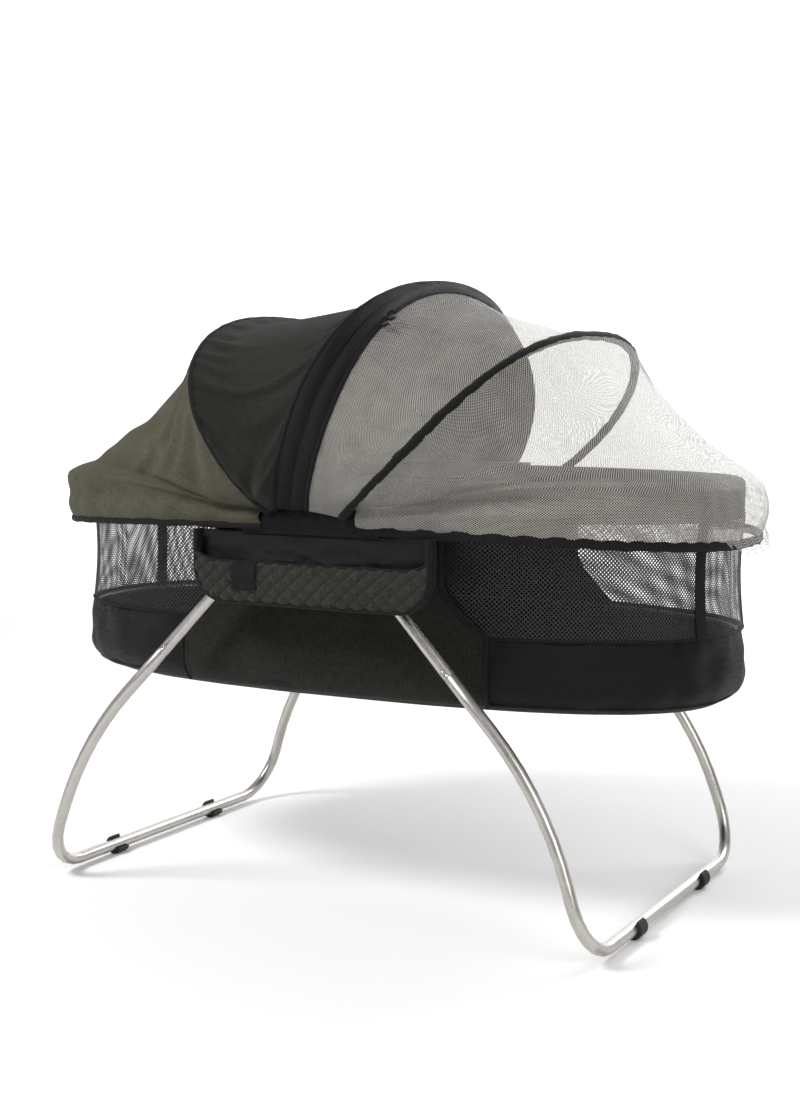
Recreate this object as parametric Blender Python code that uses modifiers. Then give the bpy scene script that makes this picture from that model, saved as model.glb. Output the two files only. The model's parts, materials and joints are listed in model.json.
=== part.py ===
"""Bassinet on a folding tube stand, modelled as separate named parts. Metres, +Z up.

+X runs towards the net end and -Y is the side with the pocket. The origin is on the floor,
below the middle of the basket. Each moving group hangs from an empty on its joint's axis.
"""

import math
from dataclasses import dataclass

import bmesh
import bpy
from mathutils import Matrix, Vector

# Basket: its plan is a superellipse
BASKET_LENGTH = 0.960
BASKET_WIDTH = 0.437
PLAN_POWER = 2.5
PLAN_STEPS = 44
UNDERSIDE_HEIGHT = 0.279
BASE_DEPTH = 0.093
WINDOW_DEPTH = 0.144
RIM_BAND_DEPTH = 0.039
BASE_INSET = 0.030
BASE_ROUND = 0.036
FABRIC = 0.0012
CLEARANCE = 0.0003

# Rim tubes and their fabric sleeves
RIM_TUBE_RADIUS = 0.007
SLEEVE_GAP = 0.0010
SLEEVE_TURNDOWN = 0.016

# Base ring, board and mattress
RING_RADIUS = 0.003
BOARD_THICKNESS = 0.004
MATTRESS_THICKNESS = 0.030
MATTRESS_GAP = 0.006

# Side panels and pocket
PANEL_CENTRE = 0.012
PANEL_TOP_HALF_WIDTH = 0.163
PANEL_BOTTOM_HALF_WIDTH = 0.222
PANEL_FLARE_DEPTH = 0.070
PANEL_STAND_OFF = 0.0026
POCKET_CENTRE = 0.025
POCKET_WIDTH = 0.344
POCKET_HEIGHT = 0.0935
POCKET_FRONT_HEIGHT = 0.056
POCKET_CORNER = 0.046
POCKET_ROOM = 0.009
POCKET_STAND_OFF = 0.0052
POCKET_FRONT_THICKNESS = 0.0025
POCKET_BINDING_WIDTH = 0.004
POCKET_DROP = 0.152
TAB_CENTRE = -0.0665
TAB_WIDTH = 0.036
TAB_HEIGHT = 0.032
HANGER_SPACING = 0.270
HANGER_WIDTH = 0.025

# Hubs
HUB_WIDTH = 0.190
HUB_BAR_HEIGHT = 0.024
HUB_PLATE_THICKNESS = 0.008
HUB_PLATE_DROP = 0.092
HUB_WALL = 0.003
TUBE_IN_HUB = 0.055
BOSS_RADIUS = 0.012
STOP_RADIUS = 0.004
STOP_REACH = 0.018

# Hoops, which all turn on one pin at each hub
PIN_DROP = 0.050
PIN_RADIUS = 0.003
PIN_HEAD_RADIUS = 0.0065
PIN_HEAD_THICKNESS = 0.0026
BORE_PLAY = 0.00015
EYELET_RADIUS = 0.008
ARM_RADIUS = 0.005
HOOP_ROD_RADIUS = 0.002
LAYER_GAP = 0.0004
HOOP_FOOT_STAND_OUT = 0.039
HOOP_BULGE = 0.0815
HOOP_STEPS = 24
FLARE_START = 0.011
FLARE_END = 0.040
COVER_GAP = 0.0019
PANEL_SAG = 0.03
SKIRT_SAG = 0.06

# Skirt of the canopy and net, round the outside of the rim
BULGE_PAST_END = 0.025
BULGE_PAST_SIDE = 0.0535
BULGE_RISE = 0.001
BULGE_FALL_AT_HUBS = 0.030
HEM_PAST_END = 0.017
HEM_PAST_SIDE = 0.0495
HEM_DROP_AT_ENDS = 0.069
HEM_DROP_AT_HUBS = 0.052
HEM_RADIUS = 0.0025
HUB_SKIRT_DEPTH = 0.017
SKIRT_START = 0.088
SKIRT_GAP_BEHIND = 0.075
SKIRT_GAP_AHEAD = 0.125

# Legs: two U frames of round tube, spreading downwards
LEG_TUBE_RADIUS = 0.008
LEG_WALL = 0.0012
LEG_PIVOT_X = 0.0654
LEG_PIVOT_DROP = 0.075
LEG_ANGLE = math.radians(44.28)
FOOT_ANGLE = math.radians(17.58)
LEG_ARC_RADIUS = 0.4376
LEG_LOWER_STRAIGHT = 0.0219
FOOT_BEND_RADIUS = 0.0667
LEG_STAND_OFF = 0.0083
LEG_SPLAY = 0.0267
UPPER_TUBE_END = 0.209
SPIGOT_LENGTH = 0.045
SPIGOT_PLAY = 0.0003
SWAGE_LENGTH = 0.0016
TUBE_TOP_GAP = 0.0025
KNUCKLE_PLUG = 0.040
BUTTON_FROM_END = 0.008
BUTTON_RADIUS = 0.0026
BUTTON_STAND_OUT = 0.0015
BUTTON_DOME = 0.0010
BUTTON_REACH = 0.0010
BUTTON_PLAY = 0.0002
SPRING_LENGTH = 0.026
SPRING_WIDTH = 0.0032
SPRING_THICKNESS = 0.0005
BOLT_RADIUS = 0.003
BOLT_HEAD_RADIUS = 0.0055
BOLT_HEAD_THICKNESS = 0.0034
PAD_THICKNESS = 0.0049
PAD_LENGTH = 0.022
PAD_SPACING = 0.240
PAD_STEP = math.radians(20)
PAD_FACES = 11
TUBE_SIDES = 10

# Heights and places that follow
BASE_SEAM = UNDERSIDE_HEIGHT + BASE_DEPTH
WINDOW_TOP = BASE_SEAM + WINDOW_DEPTH
RIM_HEIGHT = WINDOW_TOP + RIM_BAND_DEPTH
HOOP_LAYER = 2 * HOOP_ROD_RADIUS
COVER_STAND_OFF = 2 * HOOP_ROD_RADIUS + COVER_GAP
SLEEVE_RADIUS = RIM_TUBE_RADIUS + SLEEVE_GAP + FABRIC / 2
RIM_OUTSET = -(SLEEVE_RADIUS + FABRIC / 2)
RIM_AXIS_Y = BASKET_WIDTH / 2 + RIM_OUTSET
HUB_INNER_Y = RIM_AXIS_Y - RIM_TUBE_RADIUS - CLEARANCE - HUB_WALL
HUB_PLATE_Y = BASKET_WIDTH / 2 + PANEL_STAND_OFF + FABRIC / 2 + 2 * CLEARANCE
HUB_FACE_Y = HUB_PLATE_Y + HUB_PLATE_THICKNESS
PIN_HEIGHT = RIM_HEIGHT - PIN_DROP
LEG_PIVOT_HEIGHT = RIM_HEIGHT - LEG_PIVOT_DROP
LEG_TOP_HALF_WIDTH = HUB_FACE_Y + LEG_STAND_OFF + LEG_TUBE_RADIUS
FOOT_HALF_WIDTH = LEG_TOP_HALF_WIDTH + LEG_SPLAY
KNUCKLE_INNER_Y = LEG_TOP_HALF_WIDTH - LEG_TUBE_RADIUS
KNUCKLE_OUTER_Y = LEG_TOP_HALF_WIDTH + LEG_TUBE_RADIUS
TUBE_BORE = LEG_TUBE_RADIUS - 2 * LEG_WALL - SPIGOT_PLAY
PAD_OUTER_RADIUS = LEG_TUBE_RADIUS + CLEARANCE + PAD_THICKNESS
FOOT_AXIS_HEIGHT = PAD_OUTER_RADIUS * math.cos(PAD_STEP / 2)
POCKET_BOTTOM = RIM_HEIGHT - POCKET_DROP
POCKET_BACK_Y = KNUCKLE_OUTER_Y + CLEARANCE + BOLT_HEAD_THICKNESS + POCKET_STAND_OFF
HOOP_BASE_HALF_WIDTH = BASKET_WIDTH / 2 + HOOP_FOOT_STAND_OUT
HOOP_HALF_WIDTH = BASKET_WIDTH / 2 + HOOP_BULGE
BULGE_LENGTH = BASKET_LENGTH + 2 * BULGE_PAST_END
BULGE_WIDTH = BASKET_WIDTH + 2 * BULGE_PAST_SIDE
BULGE_HEIGHT = RIM_HEIGHT + BULGE_RISE
HEM_LENGTH = BASKET_LENGTH + 2 * HEM_PAST_END
HEM_WIDTH = BASKET_WIDTH + 2 * HEM_PAST_SIDE
HEM_HEIGHT_AT_ENDS = RIM_HEIGHT - HEM_DROP_AT_ENDS
HEM_HEIGHT_AT_HUBS = RIM_HEIGHT - HEM_DROP_AT_HUBS


@dataclass
class Hoop:
    """An arched rod or edge: tilt is from upright towards +X, shift is its foot's place from the pin."""

    radius: float
    tilt: float
    power: float
    shift: float
    bow: float
    layer: int = 0


REAR_HOOP = Hoop(0.315, math.radians(-33.0), 2.39, -0.018, -0.018, 0)
VISOR_HOOP = Hoop(0.310, math.radians(15.0), 2.15, -0.004, 0.010, 1)
NET_HOOP = Hoop(0.334, math.radians(44.8), 2.33, 0.054, 0.016, 2)
VISOR_BACK_EDGE = Hoop(0.320, math.radians(18.4), 2.31, -0.029, 0.000)
VISOR_FRONT_EDGE = Hoop(0.300, math.radians(13.0), 1.98, 0.015, 0.020)

# Colours (linear), roughness and metallic value of each material
FINISHES = {
    "tube": ((0.55, 0.53, 0.49), 0.32, 1.0),
    "steel": ((0.45, 0.45, 0.46), 0.35, 1.0),
    "plastic": ((0.012, 0.012, 0.013), 0.50, 0.0),
    "rubber": ((0.010, 0.010, 0.010), 0.80, 0.0),
    "black_nylon": ((0.008, 0.008, 0.009), 0.60, 0.0),
    "charcoal": ((0.022, 0.023, 0.020), 0.85, 0.0),
    "olive": ((0.085, 0.088, 0.062), 0.90, 0.0),
    "mesh": ((0.015, 0.015, 0.016), 0.70, 0.0),
    "net": ((0.60, 0.59, 0.55), 0.80, 0.0),
    "mattress": ((0.030, 0.030, 0.028), 0.90, 0.0),
    "board": ((0.20, 0.15, 0.09), 0.80, 0.0),
}


def clear_scene():
    for obj in list(bpy.data.objects):
        bpy.data.objects.remove(obj, do_unlink=True)


def make_collection(name):
    collection = bpy.data.collections.new(name)
    bpy.context.scene.collection.children.link(collection)
    return collection


def make_material(name):
    colour, roughness, metallic = FINISHES[name]
    material = bpy.data.materials.new(name)
    material.use_nodes = True
    shader = material.node_tree.nodes["Principled BSDF"]
    shader.inputs["Base Color"].default_value = (*colour, 1.0)
    shader.inputs["Roughness"].default_value = roughness
    shader.inputs["Metallic"].default_value = metallic
    material.diffuse_color = (*colour, 1.0)
    return material


def make_axis(name, location, parent=None):
    """An empty on a joint's axis, for the pieces that turn or slide with it."""
    axis = bpy.data.objects.new(name, None)
    axis.location = location
    axis.empty_display_size = 0.03
    PARTS.objects.link(axis)
    if parent:
        hang_from(axis, parent)
    return axis


def hang_from(obj, axis):
    """Parents obj to the empty and leaves it where it is."""
    obj.parent = axis
    bpy.context.view_layer.update()
    obj.matrix_parent_inverse = axis.matrix_world.inverted()


def add_object(name, data, finish, axis=None):
    obj = bpy.data.objects.new(name, data)
    data.materials.append(MATERIALS[finish])
    PARTS.objects.link(obj)
    if axis:
        hang_from(obj, axis)
    return obj


def mesh_from(name, bm):
    mesh = bpy.data.meshes.new(name)
    bmesh.ops.recalc_face_normals(bm, faces=bm.faces)
    bm.to_mesh(mesh)
    bm.free()
    mesh.shade_smooth()
    mesh.set_sharp_from_angle(angle=math.radians(35))
    return mesh


def signed_power(value, power):
    return math.copysign(abs(value) ** power, value)


def spread(start, end, count):
    return [start + (end - start) * index / (count - 1) for index in range(count)]


# Shapes


def add_cylinder(bm, start, end, radius, sides=20, end_radius=None):
    """A capped cylinder or cone in bm, from start to end."""
    run = end - start
    turn = run.to_track_quat("Z", "Y").to_matrix().to_4x4()
    place = Matrix.Translation((start + end) / 2) @ turn
    bmesh.ops.create_cone(
        bm,
        cap_ends=True,
        segments=sides,
        radius1=radius,
        radius2=radius if end_radius is None else end_radius,
        depth=run.length,
        matrix=place,
    )


def add_box(bm, low, high):
    size = high - low
    place = Matrix.Translation((low + high) / 2) @ Matrix.Diagonal((*size, 1.0))
    bmesh.ops.create_cube(bm, size=1.0, matrix=place)


def loft(name, rows, finish, axis=None, thickness=FABRIC, closed=False, floor=False):
    """A shell of even thickness about the surface that runs through the rows of points."""
    bm = bmesh.new()
    grid = [[bm.verts.new(point) for point in row] for row in rows]
    steps = len(rows[0]) if closed else len(rows[0]) - 1
    for row, following in zip(grid, grid[1:]):
        for index in range(steps):
            after = (index + 1) % len(row)
            bm.faces.new((row[index], row[after], following[after], following[index]))
    if floor:
        bm.faces.new(grid[-1])
    obj = add_object(name, mesh_from(name, bm), finish, axis)
    shell = obj.modifiers.new("Shell", "SOLIDIFY")
    shell.thickness = thickness
    shell.offset = 0.0
    return obj


def stacked(name, rows, finish, axis=None):
    """A closed solid through closed rows of points, capped at both ends."""
    bm = bmesh.new()
    grid = [[bm.verts.new(point) for point in row] for row in rows]
    for row, following in zip(grid, grid[1:]):
        for index in range(len(row)):
            after = (index + 1) % len(row)
            bm.faces.new((row[index], row[after], following[after], following[index]))
    bm.faces.new(grid[0])
    bm.faces.new(grid[-1])
    return add_object(name, mesh_from(name, bm), finish, axis)


def curve_data(name, points, radius, resolution=2, cyclic=False, caps=True, scales=None):
    """A round bar along the points. scales holds each point's share of the radius."""
    curve = bpy.data.curves.new(name, "CURVE")
    curve.dimensions = "3D"
    curve.bevel_depth = radius
    curve.bevel_resolution = resolution
    curve.use_fill_caps = caps
    spline = curve.splines.new("POLY")
    spline.points.add(len(points) - 1)
    spline.use_cyclic_u = cyclic
    for index, point in enumerate(points):
        spline.points[index].co = (*point, 1.0)
        spline.points[index].radius = scales[index] if scales else 1.0
    return curve


def bar(name, points, radius, finish, axis=None, resolution=2, cyclic=False):
    return add_object(name, curve_data(name, points, radius, resolution, cyclic), finish, axis)


def mesh_of_curve(curve):
    """The curve's own mesh, with its caps welded on."""
    guide = bpy.data.objects.new("guide", curve)
    PARTS.objects.link(guide)
    bpy.context.view_layer.update()
    graph = bpy.context.evaluated_depsgraph_get()
    mesh = bpy.data.meshes.new_from_object(guide.evaluated_get(graph))
    bpy.data.objects.remove(guide)
    bm = bmesh.new()
    bm.from_mesh(mesh)
    bmesh.ops.remove_doubles(bm, verts=bm.verts, dist=0.00001)
    bm.to_mesh(mesh)
    bm.free()
    mesh.materials.clear()
    mesh.shade_smooth()
    return mesh


def solid_bar(name, points, radius, finish, axis):
    """A round bar as a mesh, so that other shapes can be joined to it or cut from it."""
    return add_object(name, mesh_of_curve(curve_data(name, points, radius)), finish, axis)


def hollow_tube(name, points, radius, wall, finish, axis, scales=None):
    """An open-ended tube as a mesh, so that holes can be cut in it."""
    curve = curve_data(name, points, radius, TUBE_SIDES // 2 - 2, caps=False, scales=scales)
    obj = add_object(name, mesh_of_curve(curve), finish, axis)
    shell = obj.modifiers.new("Wall", "SOLIDIFY")
    shell.thickness = wall
    shell.offset = -1.0
    return obj


def plate(name, outlines, depth, y_middle, finish, axis=None):
    """Flat plates that stand in the XZ plane, from closed outlines of (x, z) points."""
    curve = bpy.data.curves.new(name, "CURVE")
    curve.dimensions = "2D"
    curve.fill_mode = "BOTH"
    curve.extrude = depth / 2
    for outline in outlines:
        spline = curve.splines.new("POLY")
        spline.points.add(len(outline) - 1)
        spline.use_cyclic_u = True
        for index, (x, z) in enumerate(outline):
            spline.points[index].co = (x, z, 0.0, 1.0)
    obj = bpy.data.objects.new(name, curve)
    curve.materials.append(MATERIALS[finish])
    obj.rotation_euler = (math.pi / 2, 0.0, 0.0)
    obj.location = (0.0, y_middle, 0.0)
    PARTS.objects.link(obj)
    if axis:
        hang_from(obj, axis)
    return obj


def cutter(name, bm):
    obj = bpy.data.objects.new(name, mesh_from(name, bm))
    obj.hide_render = True
    obj.display_type = "WIRE"
    CUTTERS.objects.link(obj)
    return obj


def combine(obj, operation, tool):
    boolean = obj.modifiers.new(tool.name, "BOOLEAN")
    boolean.operation = operation
    boolean.solver = "EXACT"
    boolean.object = tool


def arc(centre, radius, start, end, count):
    """Points of a circle's arc in a plane, as pairs."""
    turned = spread(start, end, count)
    return [(centre[0] + radius * math.cos(a), centre[1] + radius * math.sin(a)) for a in turned]


# Plan outlines


def plan_point(angle, outset, height, length=BASKET_LENGTH, width=BASKET_WIDTH):
    """A point of the plan outline at this height, moved outset metres out along its normal."""
    x = length / 2 * signed_power(math.cos(angle), 2 / PLAN_POWER)
    y = width / 2 * signed_power(math.sin(angle), 2 / PLAN_POWER)
    normal_x = signed_power(2 * x / length, PLAN_POWER - 1) / length
    normal_y = signed_power(2 * y / width, PLAN_POWER - 1) / width
    size = math.hypot(normal_x, normal_y)
    return Vector((x + outset * normal_x / size, y + outset * normal_y / size, height))


def angle_at(x, length=BASKET_LENGTH):
    """The plan outline's angle where it crosses this x, on the +Y side."""
    return math.acos(signed_power(2 * x / length, PLAN_POWER / 2))


def plan_angles(start=0.0, end=None):
    """The shared angles round the plan, or those between start and end with both ends."""
    step = 2 * math.pi / PLAN_STEPS
    if end is None:
        return [step * index for index in range(PLAN_STEPS)]
    first = math.floor(start / step + 1.001)
    last = math.ceil(end / step - 1.001)
    return [start] + [step * index for index in range(first, last + 1)] + [end]


def half_angles(end, cut, length=BASKET_LENGTH):
    """Angles from the front to the rear of one end (+1 or -1), leaving cut metres at the middle."""
    reach = angle_at(cut, length)
    angles = plan_angles(-reach, reach)
    return angles if end > 0 else [math.pi - a for a in angles]


def skin_outset(height):
    """How far the basket's skin stands from its plan outline: the base rounds in below."""
    above = height - UNDERSIDE_HEIGHT
    if above >= BASE_ROUND:
        return 0.0
    share = 1 - above / BASE_ROUND
    return -BASE_INSET * (1 - math.sqrt(max(0.0, 1 - share**2)))


# Basket


def base_heights():
    """Heights of the base's skin, seam first, closer together where it rounds in."""
    turn = spread(0.0, math.pi / 2, 6)[1:]
    rounded = [UNDERSIDE_HEIGHT + BASE_ROUND * (1 - math.sin(a)) for a in turn]
    return [BASE_SEAM, UNDERSIDE_HEIGHT + BASE_ROUND, *rounded]


def plan_ring(outset, height):
    return [plan_point(a, outset, height) for a in plan_angles()]


def make_basket():
    middle = -FABRIC / 2
    rows = []
    for height in base_heights():
        rows.append(plan_ring(skin_outset(height) + middle, height))
    loft("base_tub", rows, "black_nylon", closed=True, floor=True)

    ring_outset = -FABRIC - CLEARANCE - RING_RADIUS - SLEEVE_GAP
    ring = plan_ring(ring_outset, BASE_SEAM - 2 * RING_RADIUS)
    bar("base_ring", ring, RING_RADIUS, "steel", cyclic=True)

    inset = -BASE_INSET - FABRIC - SLEEVE_GAP
    board_bottom = UNDERSIDE_HEIGHT + FABRIC + CLEARANCE
    board_top = board_bottom + BOARD_THICKNESS
    board = [plan_ring(inset, board_bottom), plan_ring(inset, board_top)]
    stacked("base_board", board, "board")

    bottom = board_top + CLEARANCE
    soft = MATTRESS_THICKNESS / 4
    shape = ((0.0, soft), (soft, 0.0), (3 * soft, 0.0), (4 * soft, soft))
    rows = [plan_ring(inset - MATTRESS_GAP - pull, bottom + up) for up, pull in shape]
    stacked("mattress", rows, "mattress")

    for side, end in (("left", -1), ("right", 1)):
        make_basket_end(side, end)


def make_basket_end(side, end):
    """One end's mesh wall, rim tube and the fabric sleeve over the tube."""
    wall = half_angles(end, CLEARANCE)
    levels = (BASE_SEAM + CLEARANCE, WINDOW_TOP - CLEARANCE)
    rows = [[plan_point(a, -FABRIC / 2, level) for a in wall] for level in levels]
    loft("mesh_wall_" + side, rows, "mesh")

    tube = half_angles(end, HUB_WIDTH / 2 - TUBE_IN_HUB)
    points = [plan_point(a, RIM_OUTSET, RIM_HEIGHT) for a in tube]
    bar("rim_tube_" + side, points, RIM_TUBE_RADIUS, "tube")

    sleeve = half_angles(end, HUB_WIDTH / 2 + SLEEVE_GAP)
    profile = [(SLEEVE_RADIUS, WINDOW_TOP)]
    profile += arc((0.0, RIM_HEIGHT), SLEEVE_RADIUS, 0.0, math.pi, 6)
    profile.append((-SLEEVE_RADIUS, RIM_HEIGHT - SLEEVE_TURNDOWN))
    rows = []
    for outset, level in profile:
        rows.append([plan_point(a, RIM_OUTSET + outset, level) for a in sleeve])
    loft("rim_band_" + side, rows, "charcoal")


def panel_half_width(height):
    """The side panel is narrow above and flares out towards the base seam."""
    share = (BASE_SEAM + PANEL_FLARE_DEPTH - height) / PANEL_FLARE_DEPTH
    eased = min(1.0, max(0.0, share)) ** 1.6
    return PANEL_TOP_HALF_WIDTH + (PANEL_BOTTOM_HALF_WIDTH - PANEL_TOP_HALF_WIDTH) * eased


def make_side_panels():
    top = RIM_HEIGHT - HUB_BAR_HEIGHT / 2 - CLEARANCE
    flare = spread(BASE_SEAM + PANEL_FLARE_DEPTH, BASE_SEAM, 4)[:-1]
    bottom = base_heights()[:5]
    for side, across in (("front", -1), ("rear", 1)):
        rows = []
        for height in [top, *flare, *bottom]:
            half = panel_half_width(height)
            row = []
            for x in spread(PANEL_CENTRE - half, PANEL_CENTRE + half, 13):
                outset = skin_outset(height) + PANEL_STAND_OFF
                row.append(plan_point(across * angle_at(x), outset, height))
            rows.append(row)
        loft("side_panel_" + side, rows, "charcoal")


# Pocket


def pocket_outline(top, inset=0.0):
    """The pocket's outline with round lower corners, open way up, as (x, z) points."""
    half = POCKET_WIDTH / 2 - inset
    low = POCKET_BOTTOM + inset
    corner = POCKET_CORNER - inset
    left = (POCKET_CENTRE - half + corner, low + corner)
    right = (POCKET_CENTRE + half - corner, low + corner)
    points = [(POCKET_CENTRE - half, top)]
    points += arc(left, corner, math.pi, 1.5 * math.pi, 7)
    points += arc(right, corner, 1.5 * math.pi, 2 * math.pi, 7)
    points.append((POCKET_CENTRE + half, top))
    return points


def make_pocket():
    top = POCKET_BOTTOM + POCKET_HEIGHT
    front_top = POCKET_BOTTOM + POCKET_FRONT_HEIGHT
    plate("pocket_back", [pocket_outline(top)], FABRIC, -POCKET_BACK_Y, "black_nylon")

    binding_y = POCKET_BACK_Y + FABRIC / 2 + CLEARANCE + POCKET_ROOM / 2
    outer = pocket_outline(front_top)
    inner = pocket_outline(front_top, POCKET_BINDING_WIDTH)
    plate("pocket_binding", [outer + inner[::-1]], POCKET_ROOM, -binding_y, "black_nylon")

    front_y = binding_y + POCKET_ROOM / 2 + CLEARANCE + POCKET_FRONT_THICKNESS / 2
    plate("pocket_front", [outer], POCKET_FRONT_THICKNESS, -front_y, "charcoal")

    tab_y = front_y + POCKET_FRONT_THICKNESS / 2 + CLEARANCE + FABRIC / 2
    tab_bottom = front_top - TAB_HEIGHT
    left, right = TAB_CENTRE - TAB_WIDTH / 2, TAB_CENTRE + TAB_WIDTH / 2
    tab = [(left, tab_bottom), (right, tab_bottom), (right, front_top), (left, front_top)]
    plate("pocket_tab", [tab], FABRIC, -tab_y, "black_nylon")
    make_hangers(top)


def make_hangers(top):
    """Two webbing straps that hold the pocket's back to the rim."""
    behind = POCKET_BACK_Y - FABRIC - CLEARANCE
    wall = HUB_PLATE_Y + FABRIC / 2
    route = ((behind, top - 0.020), (behind, top - 0.006), (wall, top + 0.030), (wall, top + 0.044))
    for side, end in (("left", -1), ("right", 1)):
        middle = POCKET_CENTRE + end * HANGER_SPACING / 2
        edges = (middle - HANGER_WIDTH / 2, middle + HANGER_WIDTH / 2)
        rows = [[Vector((x, -y, z)) for x in edges] for y, z in route]
        loft("pocket_hanger_" + side, rows, "black_nylon")


# Hubs


def make_hub(side, across):
    """A hub: socket bar on the rim tubes, plate with bosses for the legs, and leg stops."""
    name = side + "_hub"
    half = HUB_WIDTH / 2
    bm = bmesh.new()
    low = Vector((-half, min(across * HUB_INNER_Y, across * HUB_FACE_Y), RIM_HEIGHT - HUB_BAR_HEIGHT / 2))
    high = Vector((half, max(across * HUB_INNER_Y, across * HUB_FACE_Y), RIM_HEIGHT + HUB_BAR_HEIGHT / 2))
    add_box(bm, low, high)
    hub = add_object(name, mesh_from(name, bm), "plastic")

    corner = BOSS_RADIUS
    bottom = RIM_HEIGHT - HUB_PLATE_DROP + corner
    outline = [(-half, RIM_HEIGHT)]
    outline += arc((-half + corner, bottom), corner, math.pi, 1.5 * math.pi, 5)
    outline += arc((half - corner, bottom), corner, 1.5 * math.pi, 2 * math.pi, 5)
    outline.append((half, RIM_HEIGHT))
    plate_start = min(across * HUB_PLATE_Y, across * HUB_FACE_Y)
    combine(hub, "UNION", prism(name + "_plate", outline, plate_start, HUB_PLATE_THICKNESS))

    root_y = across * (HUB_FACE_Y - HUB_PLATE_THICKNESS / 2)
    for end in (-1, 1):
        pivot = Vector((end * LEG_PIVOT_X, root_y, LEG_PIVOT_HEIGHT))
        bm = bmesh.new()
        add_cylinder(bm, pivot, with_y(pivot, across * (KNUCKLE_INNER_Y - CLEARANCE)), BOSS_RADIUS, 24)
        combine(hub, "UNION", cutter(f"{name}_boss_{end}", bm))
        stop = leg_stop_centre(end, root_y)
        bm = bmesh.new()
        add_cylinder(bm, stop, with_y(stop, across * LEG_TOP_HALF_WIDTH), STOP_RADIUS, 16)
        combine(hub, "UNION", cutter(f"{name}_stop_{end}", bm))

    for end, side_name in ((-1, "left"), (1, "right")):
        combine(hub, "DIFFERENCE", rim_socket(name, end, side_name, across))
    bores = [(Vector((0.0, 0.0, PIN_HEIGHT)), PIN_RADIUS)]
    bores += [(Vector((end * LEG_PIVOT_X, 0.0, LEG_PIVOT_HEIGHT)), BOLT_RADIUS) for end in (-1, 1)]
    for index, (bore, radius) in enumerate(bores):
        bm = bmesh.new()
        inner = with_y(bore, across * (HUB_INNER_Y - 0.02))
        outer = with_y(bore, across * (KNUCKLE_OUTER_Y + 0.02))
        add_cylinder(bm, inner, outer, radius + BORE_PLAY, 20)
        combine(hub, "DIFFERENCE", cutter(f"{name}_bore_{index}", bm))
    return hub


def with_y(point, y):
    return Vector((point.x, y, point.z))


def leg_stop_centre(end, y):
    """The stop touches the top side of the spread leg, a little way out from its pivot."""
    along = Vector((math.sin(LEG_ANGLE), 0.0, -math.cos(LEG_ANGLE)))
    above = Vector((math.cos(LEG_ANGLE), 0.0, math.sin(LEG_ANGLE)))
    reach = STOP_REACH * along + (LEG_TUBE_RADIUS + CLEARANCE + STOP_RADIUS) * above
    return Vector((end * (LEG_PIVOT_X + reach.x), y, LEG_PIVOT_HEIGHT + reach.z))


def rim_socket(name, end, side_name, across):
    """Cutter for a rim tube's end: the tube's own route, a little wider, out past the hub."""
    inner = angle_at(HUB_WIDTH / 2 - TUBE_IN_HUB - CLEARANCE)
    outer = angle_at(HUB_WIDTH / 2 + 0.01)
    points = []
    for angle in (inner, outer):
        place = plan_point(angle, RIM_OUTSET, RIM_HEIGHT)
        points.append(Vector((end * place.x, across * place.y, place.z)))
    bm = bmesh.new()
    add_cylinder(bm, points[0], points[1], RIM_TUBE_RADIUS + 2 * CLEARANCE, 24)
    return cutter(f"{name}_socket_{side_name}", bm)


def make_fasteners():
    """The bolts that the legs turn on, and the pins that the hoops turn on."""
    knuckle_face = KNUCKLE_OUTER_Y + CLEARANCE
    stack_face = layer_y(2) + HOOP_LAYER / 2 + LAYER_GAP
    for side, across in (("front", -1), ("rear", 1)):
        for end_name, end in (("left", -1), ("right", 1)):
            axis = Vector((end * LEG_PIVOT_X, 0.0, LEG_PIVOT_HEIGHT))
            name = f"{end_name}_{side}_pivot_bolt"
            head = (BOLT_HEAD_RADIUS, BOLT_HEAD_THICKNESS)
            make_headed_pin(name, axis, across, BOLT_RADIUS, knuckle_face, head)
        axis = Vector((0.0, 0.0, PIN_HEIGHT))
        head = (PIN_HEAD_RADIUS, PIN_HEAD_THICKNESS)
        make_headed_pin(side + "_canopy_pin", axis, across, PIN_RADIUS, stack_face, head)


def make_headed_pin(name, axis, across, radius, head_y, head):
    """A pin along Y that starts flush with the back of the hub's plate and ends in a round head."""
    head_radius, head_thickness = head
    top = head_y + head_thickness
    levels = ((HUB_PLATE_Y, radius), (head_y, radius), (head_y, head_radius), (top, head_radius))
    rows = []
    for y, size in levels:
        ring = arc((axis.x, axis.z), size, 0.0, 2 * math.pi, 17)[:-1]
        rows.append([Vector((x, across * y, z)) for x, z in ring])
    stacked(name, rows, "steel")


# Hoops, canopy and net


def layer_y(layer):
    """The hoops' flat ends are stacked on the pin, outwards from the hub."""
    return HUB_FACE_Y + CLEARANCE + HOOP_LAYER / 2 + layer * (HOOP_LAYER + LAYER_GAP)


def hoop_points(hoop, start, outset=0.0, flare=True):
    """Points along a hoop, front foot to rear foot, from start metres up each leg of the arch."""
    half = HOOP_HALF_WIDTH + outset
    radius = hoop.radius + outset
    power = 2 / hoop.power
    foot = math.sqrt(1 - (HOOP_BASE_HALF_WIDTH / HOOP_HALF_WIDTH) ** hoop.power)
    rise = radius / (1 + foot**power)
    middle = radius - rise
    first = -math.asin(((middle - start) / rise) ** (1 / power))
    points = []
    for turn in spread(first, math.pi - first, HOOP_STEPS + 1):
        up = middle + rise * signed_power(math.sin(turn), power)
        across = -half * signed_power(math.cos(turn), power)
        if flare:
            across = flared(across, up, layer_y(hoop.layer))
        bowed = hoop.bow * math.sin(math.pi * min(1.0, max(0.0, up / radius)))
        x = hoop.shift + up * math.sin(hoop.tilt) + bowed * math.cos(hoop.tilt)
        z = PIN_HEIGHT + up * math.cos(hoop.tilt) - bowed * math.sin(hoop.tilt)
        points.append(Vector((x, across, z)))
    return points


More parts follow.
